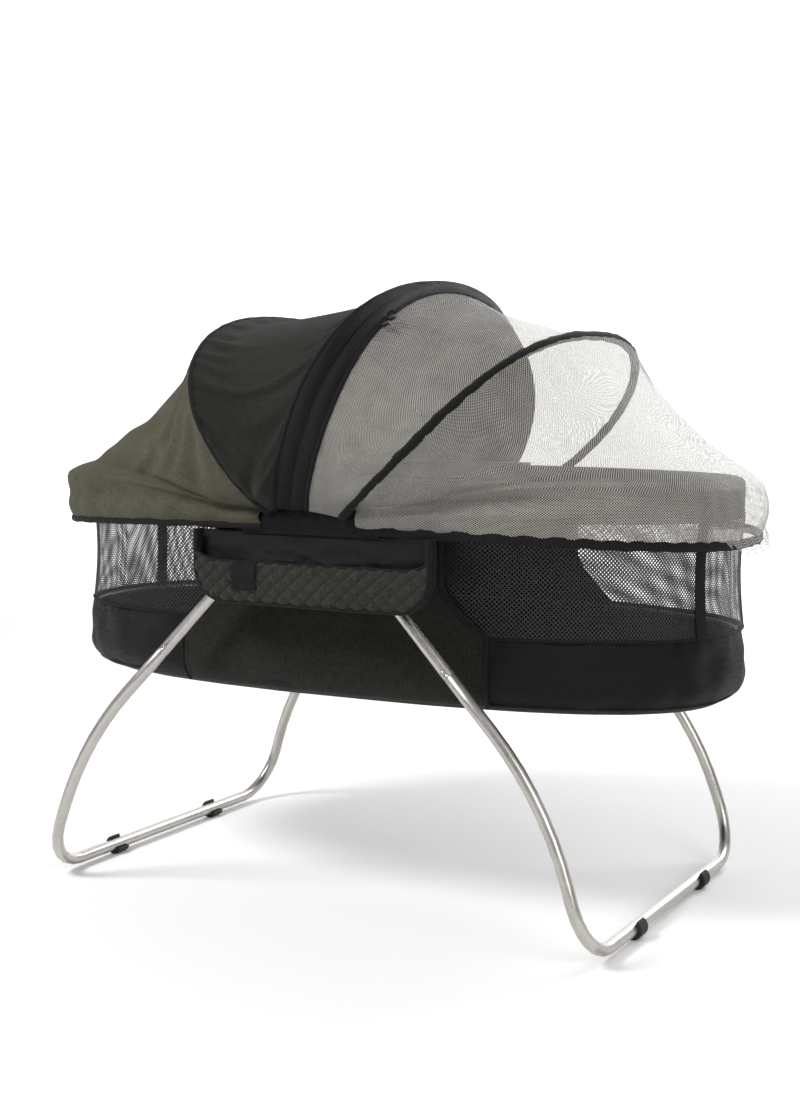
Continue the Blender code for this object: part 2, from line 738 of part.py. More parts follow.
def flared(across, up, foot_y):
    """Near its foot the rod runs in its own layer, then it spreads out to the arch."""
    share = min(1.0, max(0.0, (up - FLARE_START) / (FLARE_END - FLARE_START)))
    eased = share * share * (3 - 2 * share)
    return math.copysign(foot_y + (abs(across) - foot_y) * eased, across)


def make_hoop(name, hoop, axis):
    """A hoop of wire whose flattened feet reach across to the pin and turn on it."""
    reaches = abs(hoop.shift) > EYELET_RADIUS
    foot_radius = ARM_RADIUS if reaches else EYELET_RADIUS
    points = hoop_rod_points(hoop, foot_radius - HOOP_ROD_RADIUS)
    rod = solid_bar(name, points, HOOP_ROD_RADIUS, "steel", axis)
    direction = 0.0 if hoop.shift >= 0 else math.pi
    quarter = math.pi / 2
    pin = (0.0, PIN_HEIGHT)
    outline = arc(pin, EYELET_RADIUS, direction + quarter, direction + 3 * quarter, 13)
    if reaches:
        foot = (hoop.shift, PIN_HEIGHT)
        outline += arc(foot, ARM_RADIUS, direction - quarter, direction + quarter, 9)
    else:
        outline += arc(pin, EYELET_RADIUS, direction - quarter, direction + quarter, 13)[1:-1]
    for side, across in (("front", -1), ("rear", 1)):
        inner = across * layer_y(hoop.layer) - HOOP_LAYER / 2
        combine(rod, "UNION", prism(f"{name}_{side}_foot", outline, inner, HOOP_LAYER))
        bm = bmesh.new()
        centre = Vector((0.0, inner + HOOP_LAYER / 2, PIN_HEIGHT))
        reach = Vector((0.0, HOOP_LAYER, 0.0))
        add_cylinder(bm, centre - reach, centre + reach, PIN_RADIUS + BORE_PLAY, 16)
        combine(rod, "DIFFERENCE", cutter(f"{name}_{side}_eye", bm))


def prism(name, outline, y, depth):
    """A helper solid: a closed outline of (x, z) points at y, extruded by depth along +Y."""
    bm = bmesh.new()
    face = bm.faces.new([bm.verts.new((x, y, z)) for x, z in outline])
    grown = bmesh.ops.extrude_face_region(bm, geom=[face])
    moved = [part for part in grown["geom"] if isinstance(part, bmesh.types.BMVert)]
    bmesh.ops.translate(bm, verts=moved, vec=(0.0, depth, 0.0))
    return cutter(name, bm)


def hoop_rod_points(hoop, start):
    """The rod's points, with extra ones where its feet flare."""
    arch = hoop_points(hoop, FLARE_END)
    feet = []
    for up in spread(start, FLARE_END, 8)[:-1]:
        feet.append(hoop_points(hoop, up)[0])
    mirrored = [Vector((p.x, -p.y, p.z)) for p in reversed(feet)]
    return feet + arch + mirrored


def between(first, second, shares, sag):
    """Rows between two arches. At the middle they are drawn in by sag times their distance."""
    rows = []
    for share in shares:
        row = []
        for start, end in zip(first, second):
            point = start.lerp(end, share)
            inward = Vector((0.0, -point.y, PIN_HEIGHT - point.z)).normalized()
            drawn = sag * (end - start).length * 4 * share * (1 - share)
            row.append(point + inward * drawn)
        rows.append(row)
    return rows


def skirt_rows(arch, end, cut, sag):
    """Rows from an arch down to the bulge over the rim and on to the hem at one end."""
    bulge = skirt_line(end, cut, BULGE_LENGTH, BULGE_WIDTH)
    hem = hem_line(end, cut, HEM_RADIUS + CLEARANCE + FABRIC / 2)
    rows = between(arch, bulge, (0.03, 0.25, 0.5, 0.75, 1.0), sag)
    for share in (0.5, 1.0):
        rows.append([upper.lerp(lower, share) for upper, lower in zip(bulge, hem)])
    return rows


def skirt_angles(end, cut, length):
    reach = angle_at(cut, length)
    angles = spread(-reach, reach, HOOP_STEPS + 1)
    return angles if end > 0 else [math.pi - a for a in angles]


def skirt_line(end, cut, length, width):
    points = []
    for angle in skirt_angles(end, cut, length):
        point = plan_point(angle, 0.0, BULGE_HEIGHT, length, width)
        point.z -= BULGE_FALL_AT_HUBS * (1 - (2 * point.x / length) ** 2) ** 4
        points.append(point)
    return points


def hem_line(end, cut, lift=0.0):
    """The hem is highest at the hubs and falls towards the ends."""
    points = []
    for angle in skirt_angles(end, cut, HEM_LENGTH):
        point = plan_point(angle, 0.0, 0.0, HEM_LENGTH, HEM_WIDTH)
        share = 1 - (2 * point.x / HEM_LENGTH) ** 2
        fall = HEM_HEIGHT_AT_HUBS - HEM_HEIGHT_AT_ENDS
        point.z = HEM_HEIGHT_AT_ENDS + fall * share + lift
        points.append(point)
    return points


def make_canopy(rear, visor, net):
    """The fabric and net between the hoops, and the skirts down over the rim."""
    stand_off = COVER_STAND_OFF
    arches = {}
    for label, hoop in (
        ("rear", REAR_HOOP),
        ("visor_back", VISOR_BACK_EDGE),
        ("visor_front", VISOR_FRONT_EDGE),
        ("net", NET_HOOP),
    ):
        arches[label] = hoop_points(hoop, FLARE_END, stand_off, flare=False)

    arch = hoop_points(REAR_HOOP, SKIRT_START, stand_off, flare=False)
    rows = skirt_rows(arch, -1, SKIRT_GAP_BEHIND, SKIRT_SAG)
    loft("canopy_rear_panel", rows, "olive")
    bar("canopy_hem", hem_line(-1, SKIRT_GAP_BEHIND), HEM_RADIUS, "black_nylon")

    shares = (0.03, 0.25, 0.5, 0.75, 0.97)
    rows = between(arches["rear"], arches["visor_back"], shares, PANEL_SAG)
    loft("canopy_front_panel", rows, "charcoal", visor)
    rows = between(arches["visor_back"], arches["visor_front"], (0.03, 0.5, 0.97), 0.0)
    loft("visor_band", rows, "black_nylon", visor)
    rows = between(arches["visor_front"], arches["net"], shares, PANEL_SAG)
    loft("net_front_panel", rows, "net", net)

    arch = hoop_points(NET_HOOP, SKIRT_START, stand_off, flare=False)
    rows = skirt_rows(arch, 1, SKIRT_GAP_AHEAD, SKIRT_SAG)
    loft("net_end_panel", rows, "net", net)
    bar("net_hem", hem_line(1, SKIRT_GAP_AHEAD), HEM_RADIUS, "black_nylon", net)
    make_hub_skirts()


def make_hub_skirts():
    """The short gathered skirts that hide the hubs between the canopy's and the net's."""
    behind = -SKIRT_GAP_BEHIND + 4 * HEM_RADIUS
    ahead = SKIRT_GAP_AHEAD - 4 * HEM_RADIUS
    for side, across in (("front", -1), ("rear", 1)):
        rows = []
        top = (BULGE_WIDTH / 2, HEM_HEIGHT_AT_HUBS + HUB_SKIRT_DEPTH)
        for y, z in (top, (HEM_WIDTH / 2, HEM_HEIGHT_AT_HUBS)):
            rows.append([Vector((x, across * y, z)) for x in spread(behind, ahead, 5)])
        loft("hub_skirt_" + side, rows, "black_nylon")


# Legs


def leg_profile():
    """Points (x, z, length so far) down a leg from its pivot, and the foot bend's start."""
    sine, cosine = math.sin(LEG_ANGLE), math.cos(LEG_ANGLE)
    arc_fall = LEG_ARC_RADIUS * (sine - math.sin(FOOT_ANGLE))
    last_fall = (LEG_LOWER_STRAIGHT + FOOT_BEND_RADIUS) * math.cos(FOOT_ANGLE)
    straight = (LEG_PIVOT_HEIGHT - FOOT_AXIS_HEIGHT - arc_fall - last_fall) / cosine
    arc_start = Vector((LEG_PIVOT_X + straight * sine, LEG_PIVOT_HEIGHT - straight * cosine))
    points = [(arc_start, straight)]
    for angle in spread(LEG_ANGLE, FOOT_ANGLE, 8)[1:]:
        across = LEG_ARC_RADIUS * (math.cos(angle) - cosine)
        down = LEG_ARC_RADIUS * (sine - math.sin(angle))
        length = straight + LEG_ARC_RADIUS * (LEG_ANGLE - angle)
        points.append((arc_start + Vector((across, -down)), length))
    last, length = points[-1]
    direction = Vector((math.sin(FOOT_ANGLE), -math.cos(FOOT_ANGLE)))
    points.append((last + LEG_LOWER_STRAIGHT * direction, length + LEG_LOWER_STRAIGHT))
    return points


def leg_half_width(length):
    total = leg_profile()[-1][1]
    return LEG_TOP_HALF_WIDTH + (FOOT_HALF_WIDTH - LEG_TOP_HALF_WIDTH) * length / total


def leg_point(end, across, distance):
    """A point on the straight upper part of a leg, at this distance from its pivot."""
    x = LEG_PIVOT_X + distance * math.sin(LEG_ANGLE)
    z = LEG_PIVOT_HEIGHT - distance * math.cos(LEG_ANGLE)
    return Vector((end * x, across * leg_half_width(distance), z))


def lower_frame_side(end, across):
    """Points and radius shares from the spigot's tip down to the middle of the crossbar."""
    swaged = (LEG_TUBE_RADIUS - LEG_WALL - SPIGOT_PLAY) / LEG_TUBE_RADIUS
    tip = UPPER_TUBE_END - SPIGOT_LENGTH
    shoulder = UPPER_TUBE_END - 2 * CLEARANCE
    points = [leg_point(end, across, tip), leg_point(end, across, shoulder)]
    points.append(leg_point(end, across, shoulder + SWAGE_LENGTH))
    scales = [swaged, swaged, 1.0]
    profile = leg_profile()
    for place, length in profile:
        points.append(Vector((end * place.x, across * leg_half_width(length), place.y)))
        scales.append(1.0)
    corner = points[-1]
    down = Vector((end * math.sin(FOOT_ANGLE), 0.0, -math.cos(FOOT_ANGLE)))
    inward = Vector((0.0, -across, 0.0))
    for turn in spread(0.0, math.pi / 2, 7)[1:]:
        reach = FOOT_BEND_RADIUS * (math.sin(turn) * down + (1 - math.cos(turn)) * inward)
        points.append(corner + reach)
        scales.append(1.0)
    return points, scales


def crossbar_x():
    return lower_frame_side(1, 1)[0][-1].x


def make_leg_frame(side, end, axis):
    front, scales = lower_frame_side(end, -1)
    rear, _ = lower_frame_side(end, 1)
    lower = hollow_tube(
        side + "_lower_frame",
        front + rear[::-1],
        LEG_TUBE_RADIUS,
        LEG_WALL,
        "tube",
        axis,
        scales + scales[::-1],
    )
    for across, label in ((-1, "front"), (1, "rear")):
        stem = f"{side}_{label}"
        top = BOSS_RADIUS + TUBE_TOP_GAP
        ends = [leg_point(end, across, top), leg_point(end, across, UPPER_TUBE_END - CLEARANCE)]
        upper = hollow_tube(stem + "_upper_tube", ends, LEG_TUBE_RADIUS, LEG_WALL, "tube", axis)
        hole = button_hole(stem, end, across)
        combine(upper, "DIFFERENCE", hole)
        combine(lower, "DIFFERENCE", hole)
        make_knuckle(stem, end, across, axis)
        make_button(stem, end, across, axis)
    make_foot_pads(side, end, axis)


def button_hole(stem, end, across):
    middle = leg_point(end, across, UPPER_TUBE_END - BUTTON_FROM_END)
    outside = middle + Vector((0.0, across * 2 * LEG_TUBE_RADIUS, 0.0))
    bm = bmesh.new()
    add_cylinder(bm, middle, outside, BUTTON_RADIUS + BUTTON_PLAY, 16)
    return cutter(stem + "_button_hole", bm)


def make_knuckle(stem, end, across, axis):
    """A leg's pivot disc with the plug that goes into the top of its tube."""
    name = stem + "_knuckle"
    pivot = Vector((end * LEG_PIVOT_X, 0.0, LEG_PIVOT_HEIGHT))
    inner = with_y(pivot, across * KNUCKLE_INNER_Y)
    outer = with_y(pivot, across * KNUCKLE_OUTER_Y)
    bm = bmesh.new()
    add_cylinder(bm, inner, outer, BOSS_RADIUS, 24)
    knuckle = add_object(name, mesh_from(name, bm), "plastic", axis)
    bm = bmesh.new()
    plug = LEG_TUBE_RADIUS * math.cos(math.pi / TUBE_SIDES) - LEG_WALL - SPIGOT_PLAY
    start = leg_point(end, across, BOSS_RADIUS / 2)
    add_cylinder(bm, start, leg_point(end, across, KNUCKLE_PLUG), plug, 16)
    combine(knuckle, "UNION", cutter(name + "_plug", bm))
    bm = bmesh.new()
    beyond = Vector((0.0, across * 0.01, 0.0))
    add_cylinder(bm, inner - beyond, outer + beyond, BOLT_RADIUS + BORE_PLAY, 20)
    combine(knuckle, "DIFFERENCE", cutter(name + "_bore", bm))


def make_button(stem, end, across, leg_axis):
    """A sprung button that locks the lower frame in the upper tube, and its leaf spring."""
    middle = leg_point(end, across, UPPER_TUBE_END - BUTTON_FROM_END)
    outward = Vector((0.0, across, 0.0))
    tip = middle + outward * (LEG_TUBE_RADIUS + BUTTON_STAND_OUT)
    foot = middle + outward * (TUBE_BORE - BUTTON_REACH)
    axis = make_axis(stem + "_button_axis", middle, leg_axis)
    bm = bmesh.new()
    shoulder = tip - outward * BUTTON_DOME
    add_cylinder(bm, foot, shoulder, BUTTON_RADIUS, 16)
    button = add_object(stem + "_button", mesh_from(stem + "_button", bm), "steel", axis)
    bm = bmesh.new()
    root = shoulder - outward * CLEARANCE
    add_cylinder(bm, root, tip, 0.98 * BUTTON_RADIUS, 16, 0.7 * BUTTON_RADIUS)
    combine(button, "UNION", cutter(stem + "_button_dome", bm))

    along = (leg_point(end, across, 1.0) - leg_point(end, across, 0.0)).normalized()
    pad = BUTTON_RADIUS + SPRING_THICKNESS
    level = foot - outward * (CLEARANCE + SPRING_THICKNESS)
    low = middle - outward * (TUBE_BORE - 2 * SPRING_THICKNESS)
    bend = low - along * SPRING_LENGTH
    route = [level + along * pad, level - along * pad, bend, low + along * pad]
    sideways = along.cross(outward).normalized() * SPRING_WIDTH / 2
    rows = [[point - sideways, point + sideways] for point in route]
    loft(stem + "_button_spring", rows, "steel", leg_axis, thickness=SPRING_THICKNESS)


def make_foot_pads(side, end, axis):
    """Two half saddles of rubber under the crossbar, each with a flat facet on the floor."""
    x = end * crossbar_x()
    start = -math.pi / 2 - PAD_STEP * PAD_FACES / 2 + end * PAD_STEP * 2
    stop = start + PAD_STEP * PAD_FACES
    centre = (x, FOOT_AXIS_HEIGHT)
    outer = arc(centre, PAD_OUTER_RADIUS, start, stop, PAD_FACES + 1)
    inner = arc(centre, LEG_TUBE_RADIUS + CLEARANCE, stop, start, PAD_FACES + 1)
    for label, across in (("front", -1), ("rear", 1)):
        middle = across * PAD_SPACING / 2
        plate(f"{side}_{label}_foot_pad", [outer + inner], PAD_LENGTH, middle, "rubber", axis)


def main():
    make_basket()
    make_side_panels()
    make_pocket()
    make_hub("front", -1)
    make_hub("rear", 1)
    make_fasteners()

    pin = (0.0, 0.0, PIN_HEIGHT)
    rear = make_axis("canopy_fold_axis", pin)
    visor = make_axis("visor_fold_axis", pin, rear)
    net = make_axis("net_hoop_fold_axis", pin, visor)
    make_hoop("rear_hoop", REAR_HOOP, rear)
    make_hoop("visor_hoop", VISOR_HOOP, visor)
    make_hoop("net_hoop", NET_HOOP, net)
    make_canopy(rear, visor, net)

    for side, end in (("left", -1), ("right", 1)):
        axis = make_axis(side + "_leg_fold_axis", (end * LEG_PIVOT_X, 0.0, LEG_PIVOT_HEIGHT))
        make_leg_frame(side, end, axis)


clear_scene()
PARTS = make_collection("Bassinet")
CUTTERS = make_collection("Cutters")
CUTTERS.hide_render = True
MATERIALS = {name: make_material(name) for name in FINISHES}
main()
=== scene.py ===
"""The looks of a bassinet on a folding tube stand, laid out as a Blender add-on.

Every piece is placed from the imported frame. +X runs towards the net end, and -Y is the pocket's side.
"""

import json
import math
from typing import NamedTuple

import bpy
from mathutils import Matrix, Vector, noise

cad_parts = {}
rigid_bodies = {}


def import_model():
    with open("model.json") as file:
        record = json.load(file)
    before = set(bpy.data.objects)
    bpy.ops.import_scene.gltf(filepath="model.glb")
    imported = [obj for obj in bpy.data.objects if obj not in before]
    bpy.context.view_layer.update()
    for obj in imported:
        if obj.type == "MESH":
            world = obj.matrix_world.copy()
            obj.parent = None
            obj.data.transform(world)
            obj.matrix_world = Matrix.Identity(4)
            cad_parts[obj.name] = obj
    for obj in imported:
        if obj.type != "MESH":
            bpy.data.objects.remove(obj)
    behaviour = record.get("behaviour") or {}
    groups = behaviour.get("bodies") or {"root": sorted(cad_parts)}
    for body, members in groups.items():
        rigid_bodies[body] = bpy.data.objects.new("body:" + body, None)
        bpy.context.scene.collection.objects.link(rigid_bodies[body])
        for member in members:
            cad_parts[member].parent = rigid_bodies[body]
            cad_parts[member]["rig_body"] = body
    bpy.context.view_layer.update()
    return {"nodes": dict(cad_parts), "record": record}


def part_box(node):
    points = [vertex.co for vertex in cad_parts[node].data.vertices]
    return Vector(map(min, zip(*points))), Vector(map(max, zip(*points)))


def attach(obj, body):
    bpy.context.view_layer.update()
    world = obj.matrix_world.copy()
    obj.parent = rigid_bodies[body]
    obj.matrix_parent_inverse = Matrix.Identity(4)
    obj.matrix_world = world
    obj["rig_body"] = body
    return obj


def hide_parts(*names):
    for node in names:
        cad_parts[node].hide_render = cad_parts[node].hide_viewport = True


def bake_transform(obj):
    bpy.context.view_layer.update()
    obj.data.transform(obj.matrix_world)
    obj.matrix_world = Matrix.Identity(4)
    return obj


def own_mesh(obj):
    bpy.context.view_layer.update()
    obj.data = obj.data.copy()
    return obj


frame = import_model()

bl_info = {
    "name": "Bassinet on stand",
    "version": (1, 0, 0),
    "blender": (4, 5, 0),
    "location": "View3D > Sidebar > Bassinet",
    "description": "Builds the fabric, net, trim and finishes round the bassinet's packed frame",
    "category": "Object",
}


def middle_of(node):
    low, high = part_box(node)
    return (low + high) / 2


def extent_of(node):
    low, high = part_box(node)
    return high - low


# Sizes read from the frame
BASKET = extent_of("base_tub")
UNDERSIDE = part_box("base_tub")[0].z
BASE_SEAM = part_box("base_tub")[1].z
WINDOW_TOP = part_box("mesh_wall_left")[1].z
RIM_HEIGHT = middle_of("rim_tube_left").z
RIM_TUBE_RADIUS = extent_of("rim_tube_left").z / 2
PIN_HEIGHT = middle_of("front_canopy_pin").z
HEM_RADIUS = 0.0025
VISOR_THICKNESS = 0.0026
GUSSET_THICKNESS = 0.0018
PLAN_RADIUS_AT_STRAPS = 0.30
HUB_SKIRT_BULGE = 0.0046
NET_THICKNESS = 0.0012
BULGE_PAST_SIDES = 0.107
HOOP_ROD_RADIUS = 0.002
HEM_LENGTH = 2 * (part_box("net_hem")[1].x - HEM_RADIUS)
HEM_WIDTH = 2 * (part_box("hub_skirt_rear")[1].y - HUB_SKIRT_BULGE)
HEM_AT_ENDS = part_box("net_hem")[0].z + HEM_RADIUS
BULGE_LENGTH = 2 * (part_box("net_end_panel")[1].x - NET_THICKNESS / 2)
BULGE_WIDTH = BASKET.y + BULGE_PAST_SIDES
PANEL_LOW, PANEL_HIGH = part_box("side_panel_front")
POCKET_LOW, POCKET_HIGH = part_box("pocket_back")
POCKET_FRONT_LOW, POCKET_FRONT_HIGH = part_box("pocket_front")
TAB_LOW, TAB_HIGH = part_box("pocket_tab")
HOOP_HALF_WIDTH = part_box("visor_hoop")[1].y - HOOP_ROD_RADIUS

# Shapes shared with the frame's own hoops and basket
PLAN_POWER = 2.5
BASE_INSET = 0.030
BASE_ROUND = 0.036
HOOP_FOOT_HALF_WIDTH = BASKET.y / 2 + 0.039
COVER_STAND_OFF = 0.0059
ARCH_START = 0.040
HEM_AT_HUBS = HEM_AT_ENDS + 0.017
BULGE_FALL_AT_HUBS = 0.030


class Arch(NamedTuple):
    """A hoop or fabric edge over the basket: tilt is from upright towards +X."""

    radius: float
    tilt: float
    power: float
    shift: float
    bow: float


REAR_HOOP = Arch(0.315, math.radians(-33.0), 2.39, -0.018, -0.018)
VISOR_HOOP = Arch(0.310, math.radians(15.0), 2.15, -0.004, 0.010)
NET_HOOP = Arch(0.334, math.radians(44.8), 2.33, 0.054, 0.016)
VISOR_BACK = Arch(0.320, math.radians(18.4), 2.31, -0.029, 0.000)
VISOR_FRONT = Arch(0.300, math.radians(13.0), 1.98, 0.015, 0.020)


# Small geometry helpers


def signed_power(value, power):
    return math.copysign(abs(value) ** power, value)


def ease(low, high, value):
    """A smooth step from 0 at low to 1 at high."""
    share = min(1.0, max(0.0, (value - low) / (high - low)))
    return share * share * (3 - 2 * share)


def spread(start, end, count):
    return [start + (end - start) * index / (count - 1) for index in range(count)]


def plan_point(angle, outset, height, length=BASKET.x, width=BASKET.y):
    """A point of the basket's plan outline, moved outset metres out along its normal."""
    x = length / 2 * signed_power(math.cos(angle), 2 / PLAN_POWER)
    y = width / 2 * signed_power(math.sin(angle), 2 / PLAN_POWER)
    across = signed_power(2 * x / length, PLAN_POWER - 1) / length
    along = signed_power(2 * y / width, PLAN_POWER - 1) / width
    size = math.hypot(across, along)
    return Vector((x + outset * across / size, y + outset * along / size, height))


def angle_at(x, length=BASKET.x):
    return math.acos(signed_power(2 * x / length, PLAN_POWER / 2))


def arch_point(arch, share, start=ARCH_START, outset=0.0):
    """A point along an arch, from its front foot at share 0 to its rear foot at share 1."""
    half = HOOP_HALF_WIDTH + outset
    radius = arch.radius + outset
    power = 2 / arch.power
    foot = math.sqrt(1 - (HOOP_FOOT_HALF_WIDTH / HOOP_HALF_WIDTH) ** arch.power)
    rise = radius / (1 + foot**power)
    middle = radius - rise
    first = -math.asin(((middle - start) / rise) ** (1 / power))
    turn = first + (math.pi - 2 * first) * share
    up = middle + rise * signed_power(math.sin(turn), power)
    across = -half * signed_power(math.cos(turn), power)
    bowed = arch.bow * math.sin(math.pi * min(1.0, max(0.0, up / radius)))
    x = arch.shift + up * math.sin(arch.tilt) + bowed * math.cos(arch.tilt)
    z = PIN_HEIGHT + up * math.cos(arch.tilt) - bowed * math.sin(arch.tilt)
    return Vector((x, across, z))


def outward(point):
    """Away from the line between the two canopy pins."""
    return Vector((0.0, point.y, point.z - PIN_HEIGHT)).normalized()


def skirt_angle(end, cut, length, share):
    reach = angle_at(cut, length)
    angle = -reach + 2 * reach * share
    return angle if end > 0 else math.pi - angle


def bulge_point(end, cut, share):
    """Where the skirt passes over the rim, from the front at share 0 to the rear."""
    angle = skirt_angle(end, cut, BULGE_LENGTH, share)
    point = plan_point(angle, 0.0, RIM_HEIGHT + 0.001, BULGE_LENGTH, BULGE_WIDTH)
    point.z -= BULGE_FALL_AT_HUBS * (1 - (2 * point.x / BULGE_LENGTH) ** 2) ** 4
    return point


def hem_point(end, cut, share):
    angle = skirt_angle(end, cut, HEM_LENGTH, share)
    point = plan_point(angle, 0.0, 0.0, HEM_LENGTH, HEM_WIDTH)
    rise = 1 - (2 * point.x / HEM_LENGTH) ** 2
    point.z = HEM_AT_ENDS + (HEM_AT_HUBS - HEM_AT_ENDS) * rise
    return point


class Fold(NamedTuple):
    """A soft ridge between two places on a sheet, in shares. A negative height is a valley."""

    start: tuple
    end: tuple
    width: float
    height: float


def fold_height(folds, u, v):
    """How far the folds lift the sheet at (u, v)."""
    total = 0.0
    here = Vector((u, v))
    for fold in folds:
        start, end = Vector(fold.start), Vector(fold.end)
        run = end - start
        along = (here - start).dot(run) / run.length_squared
        if not 0 < along < 1:
            continue
        apart = (here - start - run * along).length / fold.width
        total += fold.height * math.exp(-apart * apart) * math.sin(math.pi * along) ** 0.6
    return total


# Making pieces


def select_only(piece):
    bpy.ops.object.select_all(action="DESELECT")
    piece.select_set(True)
    bpy.context.view_layer.objects.active = piece


def apply_modifier(piece, modifier):
    select_only(piece)
    bpy.ops.object.modifier_apply(modifier=modifier.name)


def path_length(points):
    return sum((b - a).length for a, b in zip(points, points[1:]))


def flat_size(place):
    """The width and length of the flat cloth that place(u, v) would take."""
    steps = spread(0.0, 1.0, 33)
    wide = max(path_length([place(u, v) for u in steps]) for v in (0.0, 0.5, 0.8, 1.0))
    long = max(path_length([place(u, v) for v in steps]) for u in (0.02, 0.25, 0.5, 0.75))
    return wide, long


def lay_sheet(name, cells, place):
    """Adds a grid, lays it where place(u, v) says and gives it a UV map in metres of flat cloth."""
    bpy.ops.object.select_all(action="DESELECT")
    bpy.ops.mesh.primitive_grid_add(x_subdivisions=cells[0], y_subdivisions=cells[1], size=1.0)
    sheet = bpy.context.object
    sheet.name = name
    flat = flat_size(place)
    shares = [(round(v.co.x + 0.5, 6), round(v.co.y + 0.5, 6)) for v in sheet.data.vertices]
    for vertex, (u, v) in zip(sheet.data.vertices, shares):
        vertex.co = place(u, v)
    for corner in sheet.data.uv_layers.active.data:
        corner.uv = (corner.uv[0] * flat[0], corner.uv[1] * flat[1])
    sheet.data.update()
    face_outwards(sheet)
    sheet["flat"] = flat
    sheet["area"] = min(sum(p.area for p in sheet.data.polygons), 0.999 * flat[0] * flat[1])
    return sheet, shares


def face_outwards(piece):
    """Flips an open piece whose faces point at the basket's middle."""
    centre = Vector((0.0, 0.0, PIN_HEIGHT - 0.08))
    facing = sum(p.area * p.normal.dot(p.center - centre) for p in piece.data.polygons)
    if facing < 0:
        select_only(piece)
        bpy.ops.object.mode_set(mode="EDIT")
        bpy.ops.mesh.select_all(action="SELECT")
        bpy.ops.mesh.flip_normals()
        bpy.ops.object.mode_set(mode="OBJECT")


def drape(sheet, shares, held, loose, slack, most=0.010, frames=18):
    """Lets a sheet hang between its held points; loose(u, v) is how much of the hang each keeps."""
    start = [v.co.copy() for v in sheet.data.vertices]
    group = sheet.vertex_groups.new(name="held")
    group.add([i for i, (u, v) in enumerate(shares) if held(u, v)], 1.0, "REPLACE")
    cloth = sheet.modifiers.new("Hang", "CLOTH")
    cloth.settings.vertex_group_mass = group.name
    cloth.settings.shrink_min = -slack
    cloth.settings.mass = 0.15
    cloth.settings.tension_stiffness = 12
    cloth.settings.compression_stiffness = 12
    cloth.settings.bending_stiffness = 0.15
    cloth.collision_settings.use_collision = False
    for number in range(1, frames + 1):
        bpy.context.scene.frame_set(number)
    apply_modifier(sheet, cloth)
    bpy.context.scene.frame_set(1)
    for vertex, before, share in zip(sheet.data.vertices, start, shares):
        moved = vertex.co - before
        kept = loose(*share) * min(1.0, most / max(moved.length, 0.00001))
        vertex.co = before + moved * kept
    sheet.vertex_groups.clear()


def thicken(piece, thickness, offset=0.0):
    solidify = piece.modifiers.new("Thickness", "SOLIDIFY")
    solidify.thickness = thickness
    solidify.offset = offset
    apply_modifier(piece, solidify)


def smooth(piece, angle=None):
    select_only(piece)
    if angle is None:
        bpy.ops.object.shade_smooth()
    else:
        bpy.ops.object.shade_smooth_by_angle(angle=angle)


def merge(piece, distance=0.00001):
    """Joins doubled points and turns every face outwards."""
    select_only(piece)
    bpy.ops.object.mode_set(mode="EDIT")
    bpy.ops.mesh.select_all(action="SELECT")
    bpy.ops.mesh.remove_doubles(threshold=distance)
    bpy.ops.mesh.normals_make_consistent(inside=False)
    bpy.ops.object.mode_set(mode="OBJECT")


def dress(piece, material):
    """Gives a piece its only material."""
    piece.data.materials.clear()
    piece.data.materials.append(material)
    return piece


def finish(piece, material, body=None, node=None):
    """Gives a piece its material and the body it rides, and hides the frame part it stands for."""
    dress(piece, MATERIALS[material])
    if node:
        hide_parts(node)
    if body:
        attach(piece, body)


def add_cloth(
    name, cells, place, material, node,
    body="root", thickness=None, offset=0.0, angle=None,
):
    """A whole sheet that stands for one frame part, as thick as the cloth unless a thickness is given."""
    cloth, _ = lay_sheet(name, cells, place)
    thicken(cloth, sizes().cloth if thickness is None else thickness, offset)
    smooth(cloth, angle)
    finish(cloth, material, body, node)


def draw_tube(name, points, radius, closed=False, sides=10):
    """A round welt, cord or sleeve along points, as a mesh with closed ends."""
    bpy.ops.object.select_all(action="DESELECT")
    bpy.ops.object.add(type="CURVE")
    tube = bpy.context.object
    tube.name = name
    tube.data.dimensions = "3D"
    tube.data.bevel_depth = radius
    tube.data.bevel_resolution = max(0, sides // 2 - 2)
    tube.data.use_fill_caps = True
    line = tube.data.splines.new("POLY")
    line.points.add(len(points) - 1)
    for spot, place in zip(line.points, points):
        spot.co = (*place, 1.0)
    line.use_cyclic_u = closed
    select_only(tube)
    bpy.ops.object.convert(target="MESH")
    merge(tube)
    smooth(tube, math.radians(60))
    return tube


def pucker(piece, size, depth, stretch=(1.0, 1.0, 1.0)):
    """Roughens a piece like gathered cloth: size is the wrinkles' spacing, in metres."""
    normals = [v.normal.copy() for v in piece.data.vertices]
    for vertex, normal in zip(piece.data.vertices, normals):
        spot = Vector([c * s / size for c, s in zip(vertex.co, stretch)])
        vertex.co += normal * depth * noise.noise(spot)
    piece.data.update()


# Materials


def add_node(tree, kind, links=None, values=None, **settings):
    """Adds a shader node with its settings, its links in and its fixed values."""
    node = tree.nodes.new("ShaderNode" + kind)
    for key, value in settings.items():
        setattr(node, key, value)
    for socket, value in (values or {}).items():
        node.inputs[socket].default_value = value
    for socket, source in (links or {}).items():
        tree.links.new(source, node.inputs[socket])
    return node


def start_material(name, **sockets):
    """A new material with these values on its Principled shader's own sockets."""
    material = bpy.data.materials.new(name)
    material.use_nodes = True
    tree = material.node_tree
    shader = tree.nodes["Principled BSDF"]
    for socket, value in sockets.items():
        shader.inputs[socket.replace("_", " ").title()].default_value = value
    return material, tree, shader


